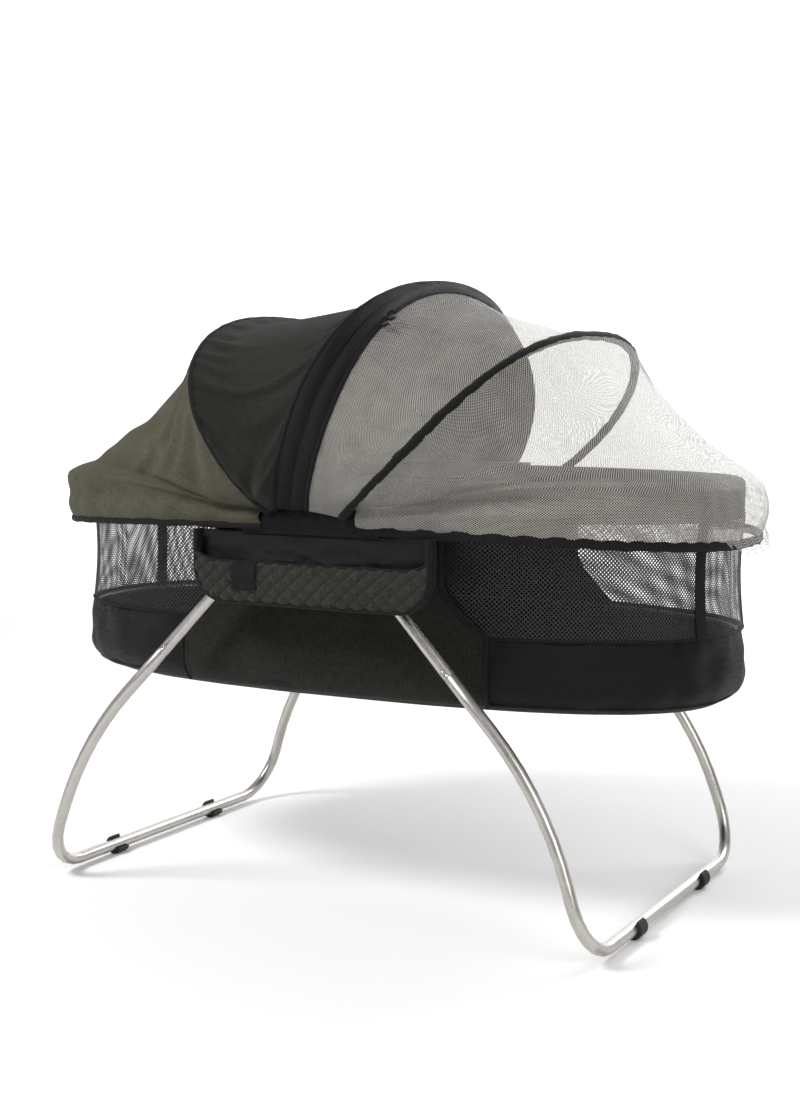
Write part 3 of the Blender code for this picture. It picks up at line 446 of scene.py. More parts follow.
def surface_place(tree, cloth, stretch=(1.0, 1.0, 1.0), turn=0.0):
    """Metres on the flat cloth, or in space, stretched or turned."""
    source = add_node(tree, "TexCoord").outputs["UV" if cloth else "Object"]
    values = {"Scale": stretch, "Rotation": (0.0, 0.0, turn)}
    return add_node(tree, "Mapping", {"Vector": source}, values).outputs["Vector"]


def add_noise(tree, place, size, detail=3.0):
    values = {"Scale": 1 / size, "Detail": detail, "Roughness": 0.6}
    return add_node(tree, "TexNoise", {"Vector": place}, values).outputs["Fac"]


def add_threads(tree, place, pitch, direction, distortion=0.6):
    """Rows of threads, pitch metres apart."""
    values = {"Scale": math.pi / (10 * pitch), "Distortion": distortion, "Detail Scale": 2.0}
    wave = add_node(
        tree, "TexWave", {"Vector": place}, values, wave_type="BANDS", bands_direction=direction
    )
    return wave.outputs["Fac"]


def add_maths(tree, operation, first, second):
    node = add_node(tree, "Math", operation=operation)
    for index, part in enumerate((first, second)):
        if isinstance(part, float):
            node.inputs[index].default_value = part
        else:
            tree.links.new(part, node.inputs[index])
    return node.outputs["Value"]


def add_range(tree, value, low, high, to_low=0.0, to_high=1.0):
    values = {"From Min": low, "From Max": high, "To Min": to_low, "To Max": to_high}
    return add_node(tree, "MapRange", {"Value": value}, values).outputs["Result"]


def add_colours(tree, value, *stops):
    """A ramp through (position, colour) stops."""
    node = add_node(tree, "ValToRGB", {"Fac": value})
    ramp = node.color_ramp
    for position, colour in stops[1:-1]:
        ramp.elements.new(position)
    for element, (position, colour) in zip(ramp.elements, stops):
        element.position = position
        element.color = (*colour, 1.0)
    return node.outputs["Color"]


def add_bump(tree, shader, height, depth, strength=1.0):
    bump = add_node(tree, "Bump", {"Height": height}, {"Distance": depth, "Strength": strength})
    tree.links.new(bump.outputs["Normal"], shader.inputs["Normal"])


def shade(colour, factor):
    return tuple(min(1.0, channel * factor) for channel in colour)


def linen(name, colour, contrast=0.55, pitch=0.0011, cloth=True):
    """Plain heathered cloth: slubby warp and weft threads of mixed shades, and a slight fade."""
    material, tree, shader = start_material(name, roughness=0.92, sheen_weight=0.08)
    shader.inputs["Sheen Roughness"].default_value = 0.5
    shader.inputs["Specular IOR Level"].default_value = 0.10
    place = surface_place(tree, cloth)
    warp = add_noise(tree, surface_place(tree, cloth, (1.0, 0.09, 1.0)), 0.0016, 4.0)
    weft = add_noise(tree, surface_place(tree, cloth, (0.09, 1.0, 1.0)), 0.0016, 4.0)
    slubs = add_maths(tree, "ADD", warp, weft)
    fade = add_noise(tree, place, 0.11, 2.0)
    faded = add_maths(tree, "MULTIPLY", fade, 0.16)
    mixed = add_maths(tree, "ADD", add_maths(tree, "MULTIPLY", slubs, 0.42), faded)
    dark, light = shade(colour, 1 - contrast), shade(colour, 1 + contrast)
    tint = add_colours(tree, mixed, (0.38, dark), (0.50, colour), (0.62, light))
    tree.links.new(tint, shader.inputs["Base Color"])
    across = add_threads(tree, place, pitch, "X")
    along = add_threads(tree, place, pitch, "Y")
    height = add_maths(tree, "ADD", add_maths(tree, "MAXIMUM", across, along), slubs)
    add_bump(tree, shader, height, 0.0004, 0.7)
    return material


def nylon(name, colour, wrinkle=0.0, cloth=True):
    """Close-woven synthetic cloth: a faint grid of threads, fine creases with a painted highlight on
    their ridges and painted shade in their hollows, and a soft shine.
    """
    material, tree, shader = start_material(name, sheen_weight=0.02)
    shader.inputs["Specular IOR Level"].default_value = 0.13
    place = surface_place(tree, cloth)
    creases_and_painted_light = add_noise(tree, surface_place(tree, cloth, (1.0, 1.8, 1.0)), 0.035, 6.0)
    # Painted highlight and shade: the crease noise that lifts the ridges also lightens their colour and
    # darkens the hollows.
    dark, light = shade(colour, 0.75), shade(colour, 1.6)
    tint = add_colours(tree, creases_and_painted_light, (0.3, dark), (0.55, colour), (0.75, light))
    tree.links.new(tint, shader.inputs["Base Color"])
    rough = add_range(tree, creases_and_painted_light, 0.3, 0.7, 0.48, 0.66)
    tree.links.new(rough, shader.inputs["Roughness"])
    across = add_threads(tree, place, 0.0009, "X", 0.2)
    along = add_threads(tree, place, 0.0009, "Y", 0.2)
    grain = add_maths(tree, "MULTIPLY", add_maths(tree, "ADD", across, along), 0.08)
    height = add_maths(tree, "ADD", grain, add_maths(tree, "MULTIPLY", creases_and_painted_light, 1.0 + wrinkle))
    add_bump(tree, shader, height, 0.003, 0.5)
    return material


def netting(name, colour, pitch, open_share, softness, turn=math.pi / 4, gloss=0.6):
    """Knitted net: diagonal threads round open holes, which really are see-through."""
    material, tree, shader = start_material(name, roughness=gloss)
    place = surface_place(tree, True, turn=turn)
    across = add_threads(tree, place, pitch, "X", 0.25)
    along = add_threads(tree, place, pitch, "Y", 0.25)
    hole = add_maths(tree, "MULTIPLY", across, along)
    edge = open_share
    cover = add_range(tree, hole, edge, edge + softness, 1.0, 0.0)
    cloud = add_noise(tree, surface_place(tree, True), 0.05, 3.0)
    patchy = add_maths(tree, "MULTIPLY", cover, add_range(tree, cloud, 0.3, 0.7, 0.9, 1.0))
    tree.links.new(patchy, shader.inputs["Alpha"])
    tint = add_colours(tree, cloud, (0.3, shade(colour, 0.86)), (0.7, colour))
    tree.links.new(tint, shader.inputs["Base Color"])
    add_bump(tree, shader, cover, 0.0003, 0.4)
    return material


def webbing(name, colour):
    """Ribbed woven tape, for binding, straps, welts and tabs."""
    material, tree, shader = start_material(name, roughness=0.78, sheen_weight=0.04)
    shader.inputs["Specular IOR Level"].default_value = 0.15
    place = surface_place(tree, False)
    ribs = add_threads(tree, place, 0.0015, "Z", 0.8)
    fuzz = add_noise(tree, place, 0.0022, 4.0)
    tint = add_colours(tree, fuzz, (0.3, shade(colour, 0.7)), (0.7, shade(colour, 1.7)))
    tree.links.new(tint, shader.inputs["Base Color"])
    height = add_maths(tree, "ADD", ribs, fuzz)
    add_bump(tree, shader, height, 0.0004, 0.6)
    return material


def brushed_metal(name, colour, roughness):
    """Satin tube: fine drawn lines, cloudy wear and small scuffs."""
    material, tree, shader = start_material(name, metallic=1.0)
    place = surface_place(tree, False)
    lines = add_noise(tree, surface_place(tree, False, (1.0, 1.0, 0.12)), 0.0009, 3.0)
    wear = add_noise(tree, place, 0.045, 6.0)
    drawn = add_maths(tree, "MULTIPLY", lines, 0.35)
    both = add_maths(tree, "ADD", drawn, add_maths(tree, "MULTIPLY", wear, 0.65))
    dark, light = shade(colour, 0.80), shade(colour, 1.12)
    tint = add_colours(tree, both, (0.32, dark), (0.52, colour), (0.68, light))
    tree.links.new(tint, shader.inputs["Base Color"])
    rough = add_range(tree, both, 0.35, 0.65, roughness - 0.07, roughness + 0.13)
    tree.links.new(rough, shader.inputs["Roughness"])
    add_bump(tree, shader, lines, 0.00008, 0.35)
    return material


def moulded(name, colour, roughness, grain):
    """Moulded plastic or rubber with a fine spark-eroded grain."""
    material, tree, shader = start_material(name)
    place = surface_place(tree, False)
    fine = add_noise(tree, place, grain, 4.0)
    cloud = add_noise(tree, place, 0.03, 2.0)
    tint = add_colours(tree, cloud, (0.3, shade(colour, 0.8)), (0.7, shade(colour, 1.3)))
    tree.links.new(tint, shader.inputs["Base Color"])
    rough = add_range(tree, fine, 0.3, 0.7, roughness - 0.08, roughness + 0.08)
    tree.links.new(rough, shader.inputs["Roughness"])
    add_bump(tree, shader, fine, 0.0002, 0.5)
    return material


def painted(name, colour):
    """The matt floor and backdrop."""
    material, tree, shader = start_material(name, roughness=0.9)
    cloud = add_noise(tree, surface_place(tree, False), 1.2, 2.0)
    tint = add_colours(tree, cloud, (0.3, shade(colour, 0.99)), (0.7, colour))
    tree.links.new(tint, shader.inputs["Base Color"])
    return material


class BassinetColours(bpy.types.PropertyGroup):
    """The fabric and metal colours."""

    olive: bpy.props.FloatVectorProperty(
        name="Olive linen", description="Lighter canopy panel", subtype="COLOR", size=3,
        default=(0.074, 0.070, 0.046), min=0.0, max=1.0,
    )
    charcoal: bpy.props.FloatVectorProperty(
        name="Charcoal linen", description="Dark canopy panel and side panels", subtype="COLOR", size=3,
        default=(0.0135, 0.0140, 0.0108), min=0.0, max=1.0,
    )
    quilt: bpy.props.FloatVectorProperty(
        name="Quilted cloth", description="Front of the pocket", subtype="COLOR", size=3,
        default=(0.027, 0.0265, 0.021), min=0.0, max=1.0,
    )
    black: bpy.props.FloatVectorProperty(
        name="Black nylon", description="Base, visor, bindings and straps", subtype="COLOR", size=3,
        default=(0.0050, 0.0049, 0.0050), min=0.0, max=1.0,
    )
    net: bpy.props.FloatVectorProperty(
        name="Insect net", description="Net over the right-hand half", subtype="COLOR", size=3,
        default=(0.45, 0.432, 0.395), min=0.0, max=1.0,
    )
    tube: bpy.props.FloatVectorProperty(
        name="Leg tube", description="Satin tube of the stand", subtype="COLOR", size=3,
        default=(0.52, 0.50, 0.465), min=0.0, max=1.0,
    )


def make_materials(colours):
    black = tuple(colours.black)
    return {
        "olive_linen": linen("olive_linen", tuple(colours.olive), 0.45),
        "charcoal_linen": linen("charcoal_linen", tuple(colours.charcoal), 0.6),
        "quilted_charcoal": linen("quilted_charcoal", tuple(colours.quilt), 0.5, 0.0009),
        "mattress_cover": linen("mattress_cover", (0.035, 0.036, 0.033), 0.5, 0.0014, cloth=False),
        "black_nylon": nylon("black_nylon", black, 0.6),
        "black_mesh": netting("black_mesh", (0.008, 0.008, 0.008), 0.0040, 0.24, 0.08),
        "net": netting("net", tuple(colours.net), 0.0027, 0.03, 0.15),
        "black_tape": webbing("black_tape", black),
        "leg_tube": brushed_metal("leg_tube", tuple(colours.tube), 0.30),
        "rim_tube": brushed_metal("rim_tube", (0.35, 0.34, 0.33), 0.35),
        "steel": brushed_metal("steel", (0.42, 0.42, 0.43), 0.30),
        "plastic": moulded("plastic", (0.014, 0.014, 0.015), 0.48, 0.0008),
        "rubber": moulded("rubber", (0.011, 0.011, 0.011), 0.80, 0.0012),
        "board": linen("board", (0.16, 0.12, 0.08), 0.3, cloth=False),
    }


MATERIALS = {}


class BassinetSizes(bpy.types.PropertyGroup):
    """Sizes of the trim and of the cloth's own detail."""

    cloth: bpy.props.FloatProperty(
        name="Cloth thickness", description="Thickness of the linen and nylon", default=0.0012,
        min=0.0003, unit="LENGTH",
    )
    slack: bpy.props.FloatProperty(
        name="Slack", description="How much longer the canopy's cloth is than its stretched shape",
        default=0.022, min=0.0, max=0.1, subtype="FACTOR",
    )
    welt: bpy.props.FloatProperty(
        name="Welt radius", description="Radius of the piped seams", default=0.0021,
        min=0.0005, unit="LENGTH",
    )
    sleeve: bpy.props.FloatProperty(
        name="Hoop sleeve radius", description="Radius of the gathered sleeve on the net hoop",
        default=0.0060, min=0.003, unit="LENGTH",
    )
    binding: bpy.props.FloatProperty(
        name="Hem height", description="Height of the elastic binding along the net's hem",
        default=0.0115, min=0.003, unit="LENGTH",
    )
    strap: bpy.props.FloatProperty(
        name="Strap width", description="Width of the webbing over the mesh walls", default=0.020,
        min=0.005, unit="LENGTH",
    )
    quilt: bpy.props.FloatProperty(
        name="Quilt spacing", description="Width of one diamond of the pocket's quilting",
        default=0.0215, min=0.006, unit="LENGTH",
    )


def sizes():
    return bpy.context.scene.bassinet_sizes


# Canopy and net

PANEL_SAG = 0.03
SKIRT_SAG = 0.055
SKIRT_TURN = 0.80
REAR_CUT = 0.050
NET_CUT = 0.088
SKIRT_ARCH_START = 0.040
CLOTH_START = 0.022
CELLS_ROUND = 132

REAR_FOLDS = (
    Fold((0.01, 0.58), (0.47, 0.72), 0.045, -0.0110),
    Fold((0.02, 0.74), (0.50, 0.82), 0.040, 0.0060),
    Fold((0.02, 0.84), (0.42, 0.90), 0.035, -0.0080),
    Fold((0.02, 0.30), (0.44, 0.56), 0.055, 0.0070),
    Fold((0.03, 0.14), (0.36, 0.44), 0.050, -0.0060),
    Fold((0.99, 0.56), (0.56, 0.68), 0.045, -0.0095),
    Fold((0.98, 0.74), (0.54, 0.82), 0.040, 0.0055),
    Fold((0.97, 0.30), (0.58, 0.54), 0.055, 0.0065),
)
FRONT_FOLDS = (
    Fold((0.02, 0.05), (0.15, 0.95), 0.032, -0.0100),
    Fold((0.01, 0.10), (0.08, 0.90), 0.020, 0.0060),
    Fold((0.98, 0.05), (0.88, 0.95), 0.030, -0.0060),
    Fold((0.25, 0.02), (0.30, 0.98), 0.055, -0.0030),
    Fold((0.40, 0.04), (0.44, 0.90), 0.050, 0.0025),
    Fold((0.70, 0.02), (0.66, 0.98), 0.060, -0.0030),
)
NET_FOLDS = (
    Fold((0.02, 0.30), (0.36, 0.62), 0.030, 0.0070),
    Fold((0.01, 0.50), (0.33, 0.72), 0.022, -0.0065),
    Fold((0.01, 0.62), (0.30, 0.78), 0.018, 0.0065),
    Fold((0.00, 0.74), (0.26, 0.84), 0.016, -0.0055),
    Fold((0.02, 0.86), (0.30, 0.90), 0.016, 0.0050),
    Fold((0.98, 0.30), (0.64, 0.62), 0.030, 0.0040),
    Fold((0.99, 0.58), (0.68, 0.76), 0.020, -0.0040),
    Fold((0.40, 0.35), (0.60, 0.40), 0.060, -0.0040),
)


def stretched(first, second, share, sag):
    """A place between two held edges, drawn in most at the middle."""
    place = first.lerp(second, share)
    drawn = sag * (second - first).length * 4 * share * (1 - share)
    return place - outward(place) * drawn


def skirt_place(arch, end, cut, folds, ruffle):
    """The place(u, v) of a skirt that runs from a hoop over the rim to its hem."""

    def place(u, v):
        top = arch_point(arch, u, SKIRT_ARCH_START, COVER_STAND_OFF)
        bulge, hem = bulge_point(end, cut, u), hem_point(end, cut, u)
        away = Vector((bulge.x, 2.5 * bulge.y, 0.0)).normalized()
        if v <= SKIRT_TURN:
            share = v / SKIRT_TURN
            spot = stretched(top, bulge, share, SKIRT_SAG)
            spot += outward(spot) * fold_height(folds, u, v)
        else:
            share = (v - SKIRT_TURN) / (1 - SKIRT_TURN)
            spot = bulge.lerp(hem, share) + away * 0.006 * math.sin(math.pi * share)
            spot += away * fold_height(folds, u, v)
        rounded = math.exp(-(((v - SKIRT_TURN) / 0.06) ** 2))
        spot -= (away + Vector((0.0, 0.0, 0.6))) * 0.004 * rounded
        gathered = ease(0.70, 0.92, v) * (1 - 0.8 * ease(0.96, 1.0, v))
        wave = math.sin(2 * math.pi * ruffle[0] * u + 4 * noise.noise(Vector((9 * u, 2 * v, end))))
        return spot + away * ruffle[1] * gathered * wave

    return place


def panel_place(first, second, sag, folds):
    def place(u, v):
        start = arch_point(first, u, CLOTH_START, COVER_STAND_OFF)
        end = arch_point(second, u, CLOTH_START, COVER_STAND_OFF)
        spot = stretched(start, end, v, sag)
        return spot + outward(spot) * fold_height(folds, u, v)

    return place


def edge_held(u, v):
    return v in (0.0, 1.0) or u in (0.0, 1.0)


def panel_loose(u, v):
    return ease(0.0, 0.04, u) * ease(0.0, 0.04, 1 - u) * ease(0.0, 0.05, v) * ease(0.0, 0.05, 1 - v)


def skirt_held(u, v):
    return edge_held(u, v) or v >= SKIRT_TURN


def skirt_loose(u, v):
    return panel_loose(u, v) * ease(0.0, 0.32, SKIRT_TURN - v)


def hinge_point(arch, reach):
    """A point in a hoop's plane, reach metres from the pins' line."""
    return (reach * math.sin(arch.tilt), 0.0, PIN_HEIGHT + reach * math.cos(arch.tilt))


def add_rear_panel():
    place = skirt_place(REAR_HOOP, -1, REAR_CUT, REAR_FOLDS, (23, 0.0016))
    panel, shares = lay_sheet("canopy_rear_cloth", (CELLS_ROUND, 60), place)
    drape(panel, shares, skirt_held, skirt_loose, sizes().slack)
    thicken(panel, sizes().cloth, -1.0)
    smooth(panel)
    finish(panel, "olive_linen", node="canopy_rear_panel")
    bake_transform(panel)


def add_front_panel():
    place = panel_place(REAR_HOOP, VISOR_BACK, PANEL_SAG, FRONT_FOLDS)
    panel, shares = lay_sheet("canopy_front_cloth", (CELLS_ROUND, 44), place)
    drape(panel, shares, edge_held, panel_loose, sizes().slack)
    thicken(panel, sizes().cloth, -1.0)
    smooth(panel)
    finish(panel, "charcoal_linen", node="canopy_front_panel")
    start, end = hinge_point(REAR_HOOP, 0.30), hinge_point(VISOR_HOOP, 0.30)
    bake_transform(panel)
    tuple(start)
    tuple(end)


def sleeve_on(name, arch, radius, body, start=CLOTH_START, outset=0.0035, folds=0.0007):
    """A gathered black sleeve or thick welt along an arch, riding with its hoop."""
    points = [arch_point(arch, share, start, outset) for share in spread(0.0, 1.0, 121)]
    sleeve = draw_tube(name, points, radius, sides=14)
    pucker(sleeve, 0.007, folds)
    finish(sleeve, "black_tape", body)


def hem_binding(name, end, cut, height, node, body):
    """The elastic tape that gathers a skirt's hem, a little higher than it is thick."""

    def place(u, v):
        spot = hem_point(end, cut, u)
        out = Vector((spot.x, 2.5 * spot.y, 0.0)).normalized()
        spot.z += (v - 0.45) * height + 0.0012 * noise.noise(Vector((40 * u, 0.0, end)))
        ripple = 0.0011 * noise.noise(Vector((150 * u, 2 * v, 5.0)))
        return spot + out * (0.0012 + ripple + 0.0012 * math.sin(math.pi * v))

    binding, _ = lay_sheet(name, (240, 4), place)
    thicken(binding, 0.0024)
    smooth(binding, math.radians(60))
    finish(binding, "black_tape", body, node)
    return binding


def add_hub_skirts():
    """Short gathered cloth that hides the hubs between the two skirts."""
    for side, across in (("front", -1), ("rear", 1)):

        def place(u, v, across=across):
            x = -REAR_CUT - 0.030 + (NET_CUT + REAR_CUT + 0.060) * u
            gather = 0.0018 * math.sin(52 * u + 4 * noise.noise(Vector((7 * u, 3 * v, across))))
            crown = 0.005 * math.sin(math.pi * min(1.0, 1.2 * v))
            y = BULGE_WIDTH / 2 - 0.006 + (crown + gather * (1 - v)) * math.sin(math.pi * u) ** 0.5
            arched = math.sin(math.pi * u) ** 0.8
            z = HEM_AT_HUBS + 0.004 + 0.024 * arched - (0.014 + 0.024 * arched) * v
            return Vector((x, across * y, z))

        name = f"hub_skirt_{side}"
        add_cloth(name + "_cloth", (60, 16), place, "black_nylon", name)


class BASSINET_OT_canopy(bpy.types.Operator):
    """Adds the linen panels of the canopy, their sleeve on the rear hoop and their hem"""

    bl_idname = "bassinet.add_canopy"
    bl_label = "Canopy"

    def execute(self, context):
        add_rear_panel()
        add_front_panel()
        sleeve_on("rear_hoop_sleeve", REAR_HOOP, 0.0050, "rear_hoop", outset=0.0018)
        hem_binding("canopy_hem_binding", -1, REAR_CUT, 0.0075, "canopy_hem", "root")
        add_hub_skirts()
        return {"FINISHED"}


def add_visor_band():
    def place(u, v):
        back = arch_point(VISOR_BACK, u, CLOTH_START, COVER_STAND_OFF)
        front = arch_point(VISOR_FRONT, u, CLOTH_START, COVER_STAND_OFF)
        spot = back.lerp(front, v)
        puffs = 0.0065 * abs(math.sin(math.pi * 2 * v)) ** 0.7 * (0.6 + 0.4 * math.sin(math.pi * u))
        crease = 0.0022 * noise.noise(Vector((14 * u, 2.5 * v, 3.0)))
        return spot + outward(spot) * (puffs + crease * math.sin(math.pi * v))

    add_cloth(
        "visor_cloth", (CELLS_ROUND, 28), place, "black_nylon", "visor_band",
        body="visor_hoop", thickness=VISOR_THICKNESS, offset=-1.0,
    )


def add_toggles():
    """Two small cord loops with barrel toggles on the visor's front edge."""
    for index, share in enumerate((0.335, 0.318)):
        middle = arch_point(VISOR_FRONT, share, ARCH_START, COVER_STAND_OFF + 0.004)
        middle += Vector((0.006, -0.002, 0.0))
        bpy.ops.object.select_all(action="DESELECT")
        bpy.ops.mesh.primitive_torus_add(
            major_segments=28, minor_segments=10, major_radius=0.0048, minor_radius=0.0013,
            location=middle, rotation=(math.radians(70), 0.3, 0.5),
        )
        loop = bpy.context.object
        loop.name = f"visor_loop_{index + 1}"
        bpy.ops.object.transform_apply(location=True, rotation=True, scale=True)
        bpy.ops.mesh.primitive_cylinder_add(
            vertices=20, radius=0.0030, depth=0.011,
            location=middle + Vector((0.003, -0.004, -0.004)), rotation=(0.4, 1.2, 0.3),
        )
        toggle = bpy.context.object
        toggle.name = f"visor_toggle_{index + 1}"
        bpy.ops.object.transform_apply(location=True, rotation=True, scale=True)
        bevel = toggle.modifiers.new("Round", "BEVEL")
        bevel.width = 0.0009
        bevel.segments = 3
        apply_modifier(toggle, bevel)
        for piece, material in ((loop, "black_tape"), (toggle, "plastic")):
            smooth(piece, math.radians(50))
            finish(piece, material, "visor_hoop")


class BASSINET_OT_visor(bpy.types.Operator):
    """Adds the padded black visor, its welts and its two toggles"""

    bl_idname = "bassinet.add_visor"
    bl_label = "Visor"

    def execute(self, context):
        add_visor_band()
        sleeve_on("visor_hoop_sleeve", VISOR_HOOP, 0.0036, "visor_hoop", outset=0.0)
        sleeve_on("visor_back_welt", VISOR_BACK, 0.0036, "visor_hoop", outset=COVER_STAND_OFF)
        sleeve_on("visor_front_welt", VISOR_FRONT, 0.0030, "visor_hoop", outset=COVER_STAND_OFF)
        add_toggles()
        return {"FINISHED"}


def add_net_front():
    place = panel_place(VISOR_FRONT, NET_HOOP, PANEL_SAG, ())
    net, shares = lay_sheet("net_front_cloth", (CELLS_ROUND, 40), place)
    drape(net, shares, edge_held, panel_loose, 0.5 * sizes().slack, 0.006)
    smooth(net)
    finish(net, "net", node="net_front_panel")
    start, end = hinge_point(VISOR_HOOP, 0.30), hinge_point(NET_HOOP, 0.32)
    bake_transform(net)
    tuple(start)
    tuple(end)


def net_fold(piece):
    """The net past its hoop rides with the hoop, on a mesh of its own."""
    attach(piece, "net_hoop")
    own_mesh(piece)


def add_net_end():
    place = skirt_place(NET_HOOP, 1, NET_CUT, NET_FOLDS, (31, 0.0020))
    net, shares = lay_sheet("net_end_cloth", (CELLS_ROUND, 64), place)
    drape(net, shares, skirt_held, skirt_loose, 0.6 * sizes().slack, 0.008)
    smooth(net)
    finish(net, "net", node="net_end_panel")
    net_fold(net)


def add_net_frill():
    """The spare net that bunches out below the elastic at the far end."""

    def place(u, v):
        share = 0.40 + 0.20 * u
        spot = hem_point(1, NET_CUT, share)
        out = Vector((spot.x, spot.y, 0.0)).normalized()
        taper = math.sin(math.pi * u) ** 0.5
        wave = math.sin(62 * u + 3 * noise.noise(Vector((6 * u, 0.0, 1.0))))
        spot += out * (0.003 + (0.012 + 0.005 * wave) * v * taper)
        spot.z += 0.020 - (0.030 + 0.006 * wave) * v * taper
        return spot

    frill, _ = lay_sheet("net_frill_cloth", (150, 12), place)
    smooth(frill)
    finish(frill, "net")
    net_fold(frill)


class BASSINET_OT_net(bpy.types.Operator):
    """Adds the insect net, the gathered sleeve on its hoop, its hem and its frill"""

    bl_idname = "bassinet.add_net"
    bl_label = "Insect net"

    def execute(self, context):
        add_net_front()
        add_net_end()
        add_net_frill()
        sleeve_on("net_hoop_sleeve", NET_HOOP, sizes().sleeve, "net_hoop", outset=0.0018, folds=0.0016)
        hem = hem_binding("net_hem_binding", 1, NET_CUT, sizes().binding, "net_hem", "net_hoop")
        net_fold(hem)
        return {"FINISHED"}


# Basket

WAIST = 0.005
BASE_BULGE = 0.005
BOUND_RIM = 0.096
STRAP_FROM_MIDDLE = 0.080


def skin_outset(height):
    """How far the basket's skin stands from its plan outline: the base rounds in below."""
    above = height - UNDERSIDE
    if above >= BASE_ROUND:
        return 0.0
    share = 1 - above / BASE_ROUND
    return -BASE_INSET * (1 - math.sqrt(max(0.0, 1 - share**2)))


def wall_waist(height):
    """The mesh wall draws in a little between its seams, and the base stands out below."""
    if height >= BASE_SEAM:
        share = (height - BASE_SEAM) / (WINDOW_TOP - BASE_SEAM)
        return -WAIST * math.sin(math.pi * min(1.0, share))
    share = (BASE_SEAM - height) / (BASE_SEAM - UNDERSIDE)
    return BASE_BULGE * math.sin(math.pi * min(1.0, share)) ** 0.8


def base_point(u, v):
    """Down the base's wall, round its lower edge and in to the middle of its floor."""
    angle = 2 * math.pi * u
    wall = BASE_SEAM - UNDERSIDE - BASE_ROUND
    turn_length = math.pi / 2 * (BASE_ROUND + BASE_INSET) / 2
    run = min(1.0, v / 0.8) * (wall + turn_length)
    turn = max(0.0, run - wall) / turn_length * math.pi / 2
    height = BASE_SEAM - run if run < wall else UNDERSIDE + BASE_ROUND * (1 - math.sin(turn))
    outset = -BASE_INSET * (1 - math.cos(turn)) + wall_waist(height)
    ring = Vector((math.cos(angle), math.sin(angle)))
    wrinkle = noise.noise(Vector((7 * ring.x, 7 * ring.y, 26 * height)))
    gather = noise.noise(Vector((30 * ring.x, 30 * ring.y, 5 * height)))
    near_seam = math.exp(-(((BASE_SEAM - height) / 0.02) ** 2))
    fade = 1 - ease(0.6, 0.85, v)
    outset += (0.0050 * wrinkle + 0.0030 * gather * near_seam) * fade
    point = plan_point(angle, outset, height)
    if v > 0.8:
        reach = 1 - (v - 0.8) / 0.2
        point.x *= reach
        point.y *= reach
    return point


def add_base():
    base, _ = lay_sheet("base_cloth", (200, 40), base_point)
    merge(base)
    thicken(base, sizes().cloth, -1.0)
    smooth(base)
    finish(base, "black_nylon", "root", "base_tub")
    for name, height, outset in (
        ("base_seam_welt", BASE_SEAM, 0.0006),
        ("base_lower_welt", UNDERSIDE + 0.010, skin_outset(UNDERSIDE + 0.010) + 0.0012),
    ):
        angles = spread(0.0, 2 * math.pi, 145)[:-1]
        ring = [plan_point(a, outset, height) for a in angles]
        welt = draw_tube(name, ring, sizes().welt, closed=True)
        pucker(welt, 0.012, 0.0005)
        finish(welt, "black_tape", "root")


def half_angle(end, share, cut):
    reach = angle_at(cut)
    angle = -reach + 2 * reach * share
    return angle if end > 0 else math.pi - angle


def profile_place(profile, share):
    """A point along a profile of (outset, height) pairs, by length."""
    points = [Vector(pair) for pair in profile]
    left = share * path_length(points)
    for start, end in zip(points, points[1:]):
        step = (end - start).length
        if left <= step:
            return start.lerp(end, left / step)
        left -= step
    return points[-1]


def add_walls():
    for side, end in (("left", -1), ("right", 1)):

        def wall(u, v, end=end):
            height = BASE_SEAM + (WINDOW_TOP - BASE_SEAM) * v
            ripple = 0.0015 * noise.noise(Vector((12 * u, 3 * v, end))) * math.sin(math.pi * v)
            return plan_point(half_angle(end, u, 0.0003), wall_waist(height) + ripple, height)

        mesh, _ = lay_sheet(f"mesh_wall_{side}_cloth", (140, 18), wall)
        smooth(mesh)
        finish(mesh, "black_mesh", "root", f"mesh_wall_{side}")
        add_rim_sleeve(side, end)


def add_rim_sleeve(side, end):
    """The linen band that runs from the windows up over the rim tube."""
    centre = -(RIM_TUBE_RADIUS + 0.0022)
    reach = RIM_TUBE_RADIUS + 0.0016
    profile = [(0.0, WINDOW_TOP - 0.002)]
    for turn in spread(0.0, math.pi, 12):
        profile.append((centre + reach * math.cos(turn), RIM_HEIGHT + reach * math.sin(turn)))
    profile.append((centre - reach, RIM_HEIGHT - 0.016))

    def place(u, v):
        outset, height = profile_place(profile, v)
        outset += 0.0008 * noise.noise(Vector((30 * u, 4 * v, end)))
        return plan_point(half_angle(end, u, BOUND_RIM), outset, height)

    name = f"rim_band_{side}"
    add_cloth(name + "_cloth", (140, 22), place, "charcoal_linen", name)


def add_straps():
    """Webbing over the mesh near each corner of the two ends."""
    for side, end in (("left", -1), ("right", 1)):
        for label, across in (("front", -1), ("rear", 1)):
            sine = signed_power(2 * STRAP_FROM_MIDDLE / BASKET.y, PLAN_POWER / 2)
            middle = across * math.asin(sine)
            if end < 0:
                middle = math.pi - middle
            angle = sizes().strap / PLAN_RADIUS_AT_STRAPS

            def place(u, v, middle=middle, angle=angle):
                height = BASE_SEAM - 0.004 + (WINDOW_TOP - BASE_SEAM + 0.006) * v
                return plan_point(middle + angle * (u - 0.5), wall_waist(height) + 0.0016, height)

            strap, _ = lay_sheet(f"{side}_{label}_strap", (8, 24), place)
            thicken(strap, 0.0015)
            smooth(strap, math.radians(50))
            finish(strap, "black_tape", "root")


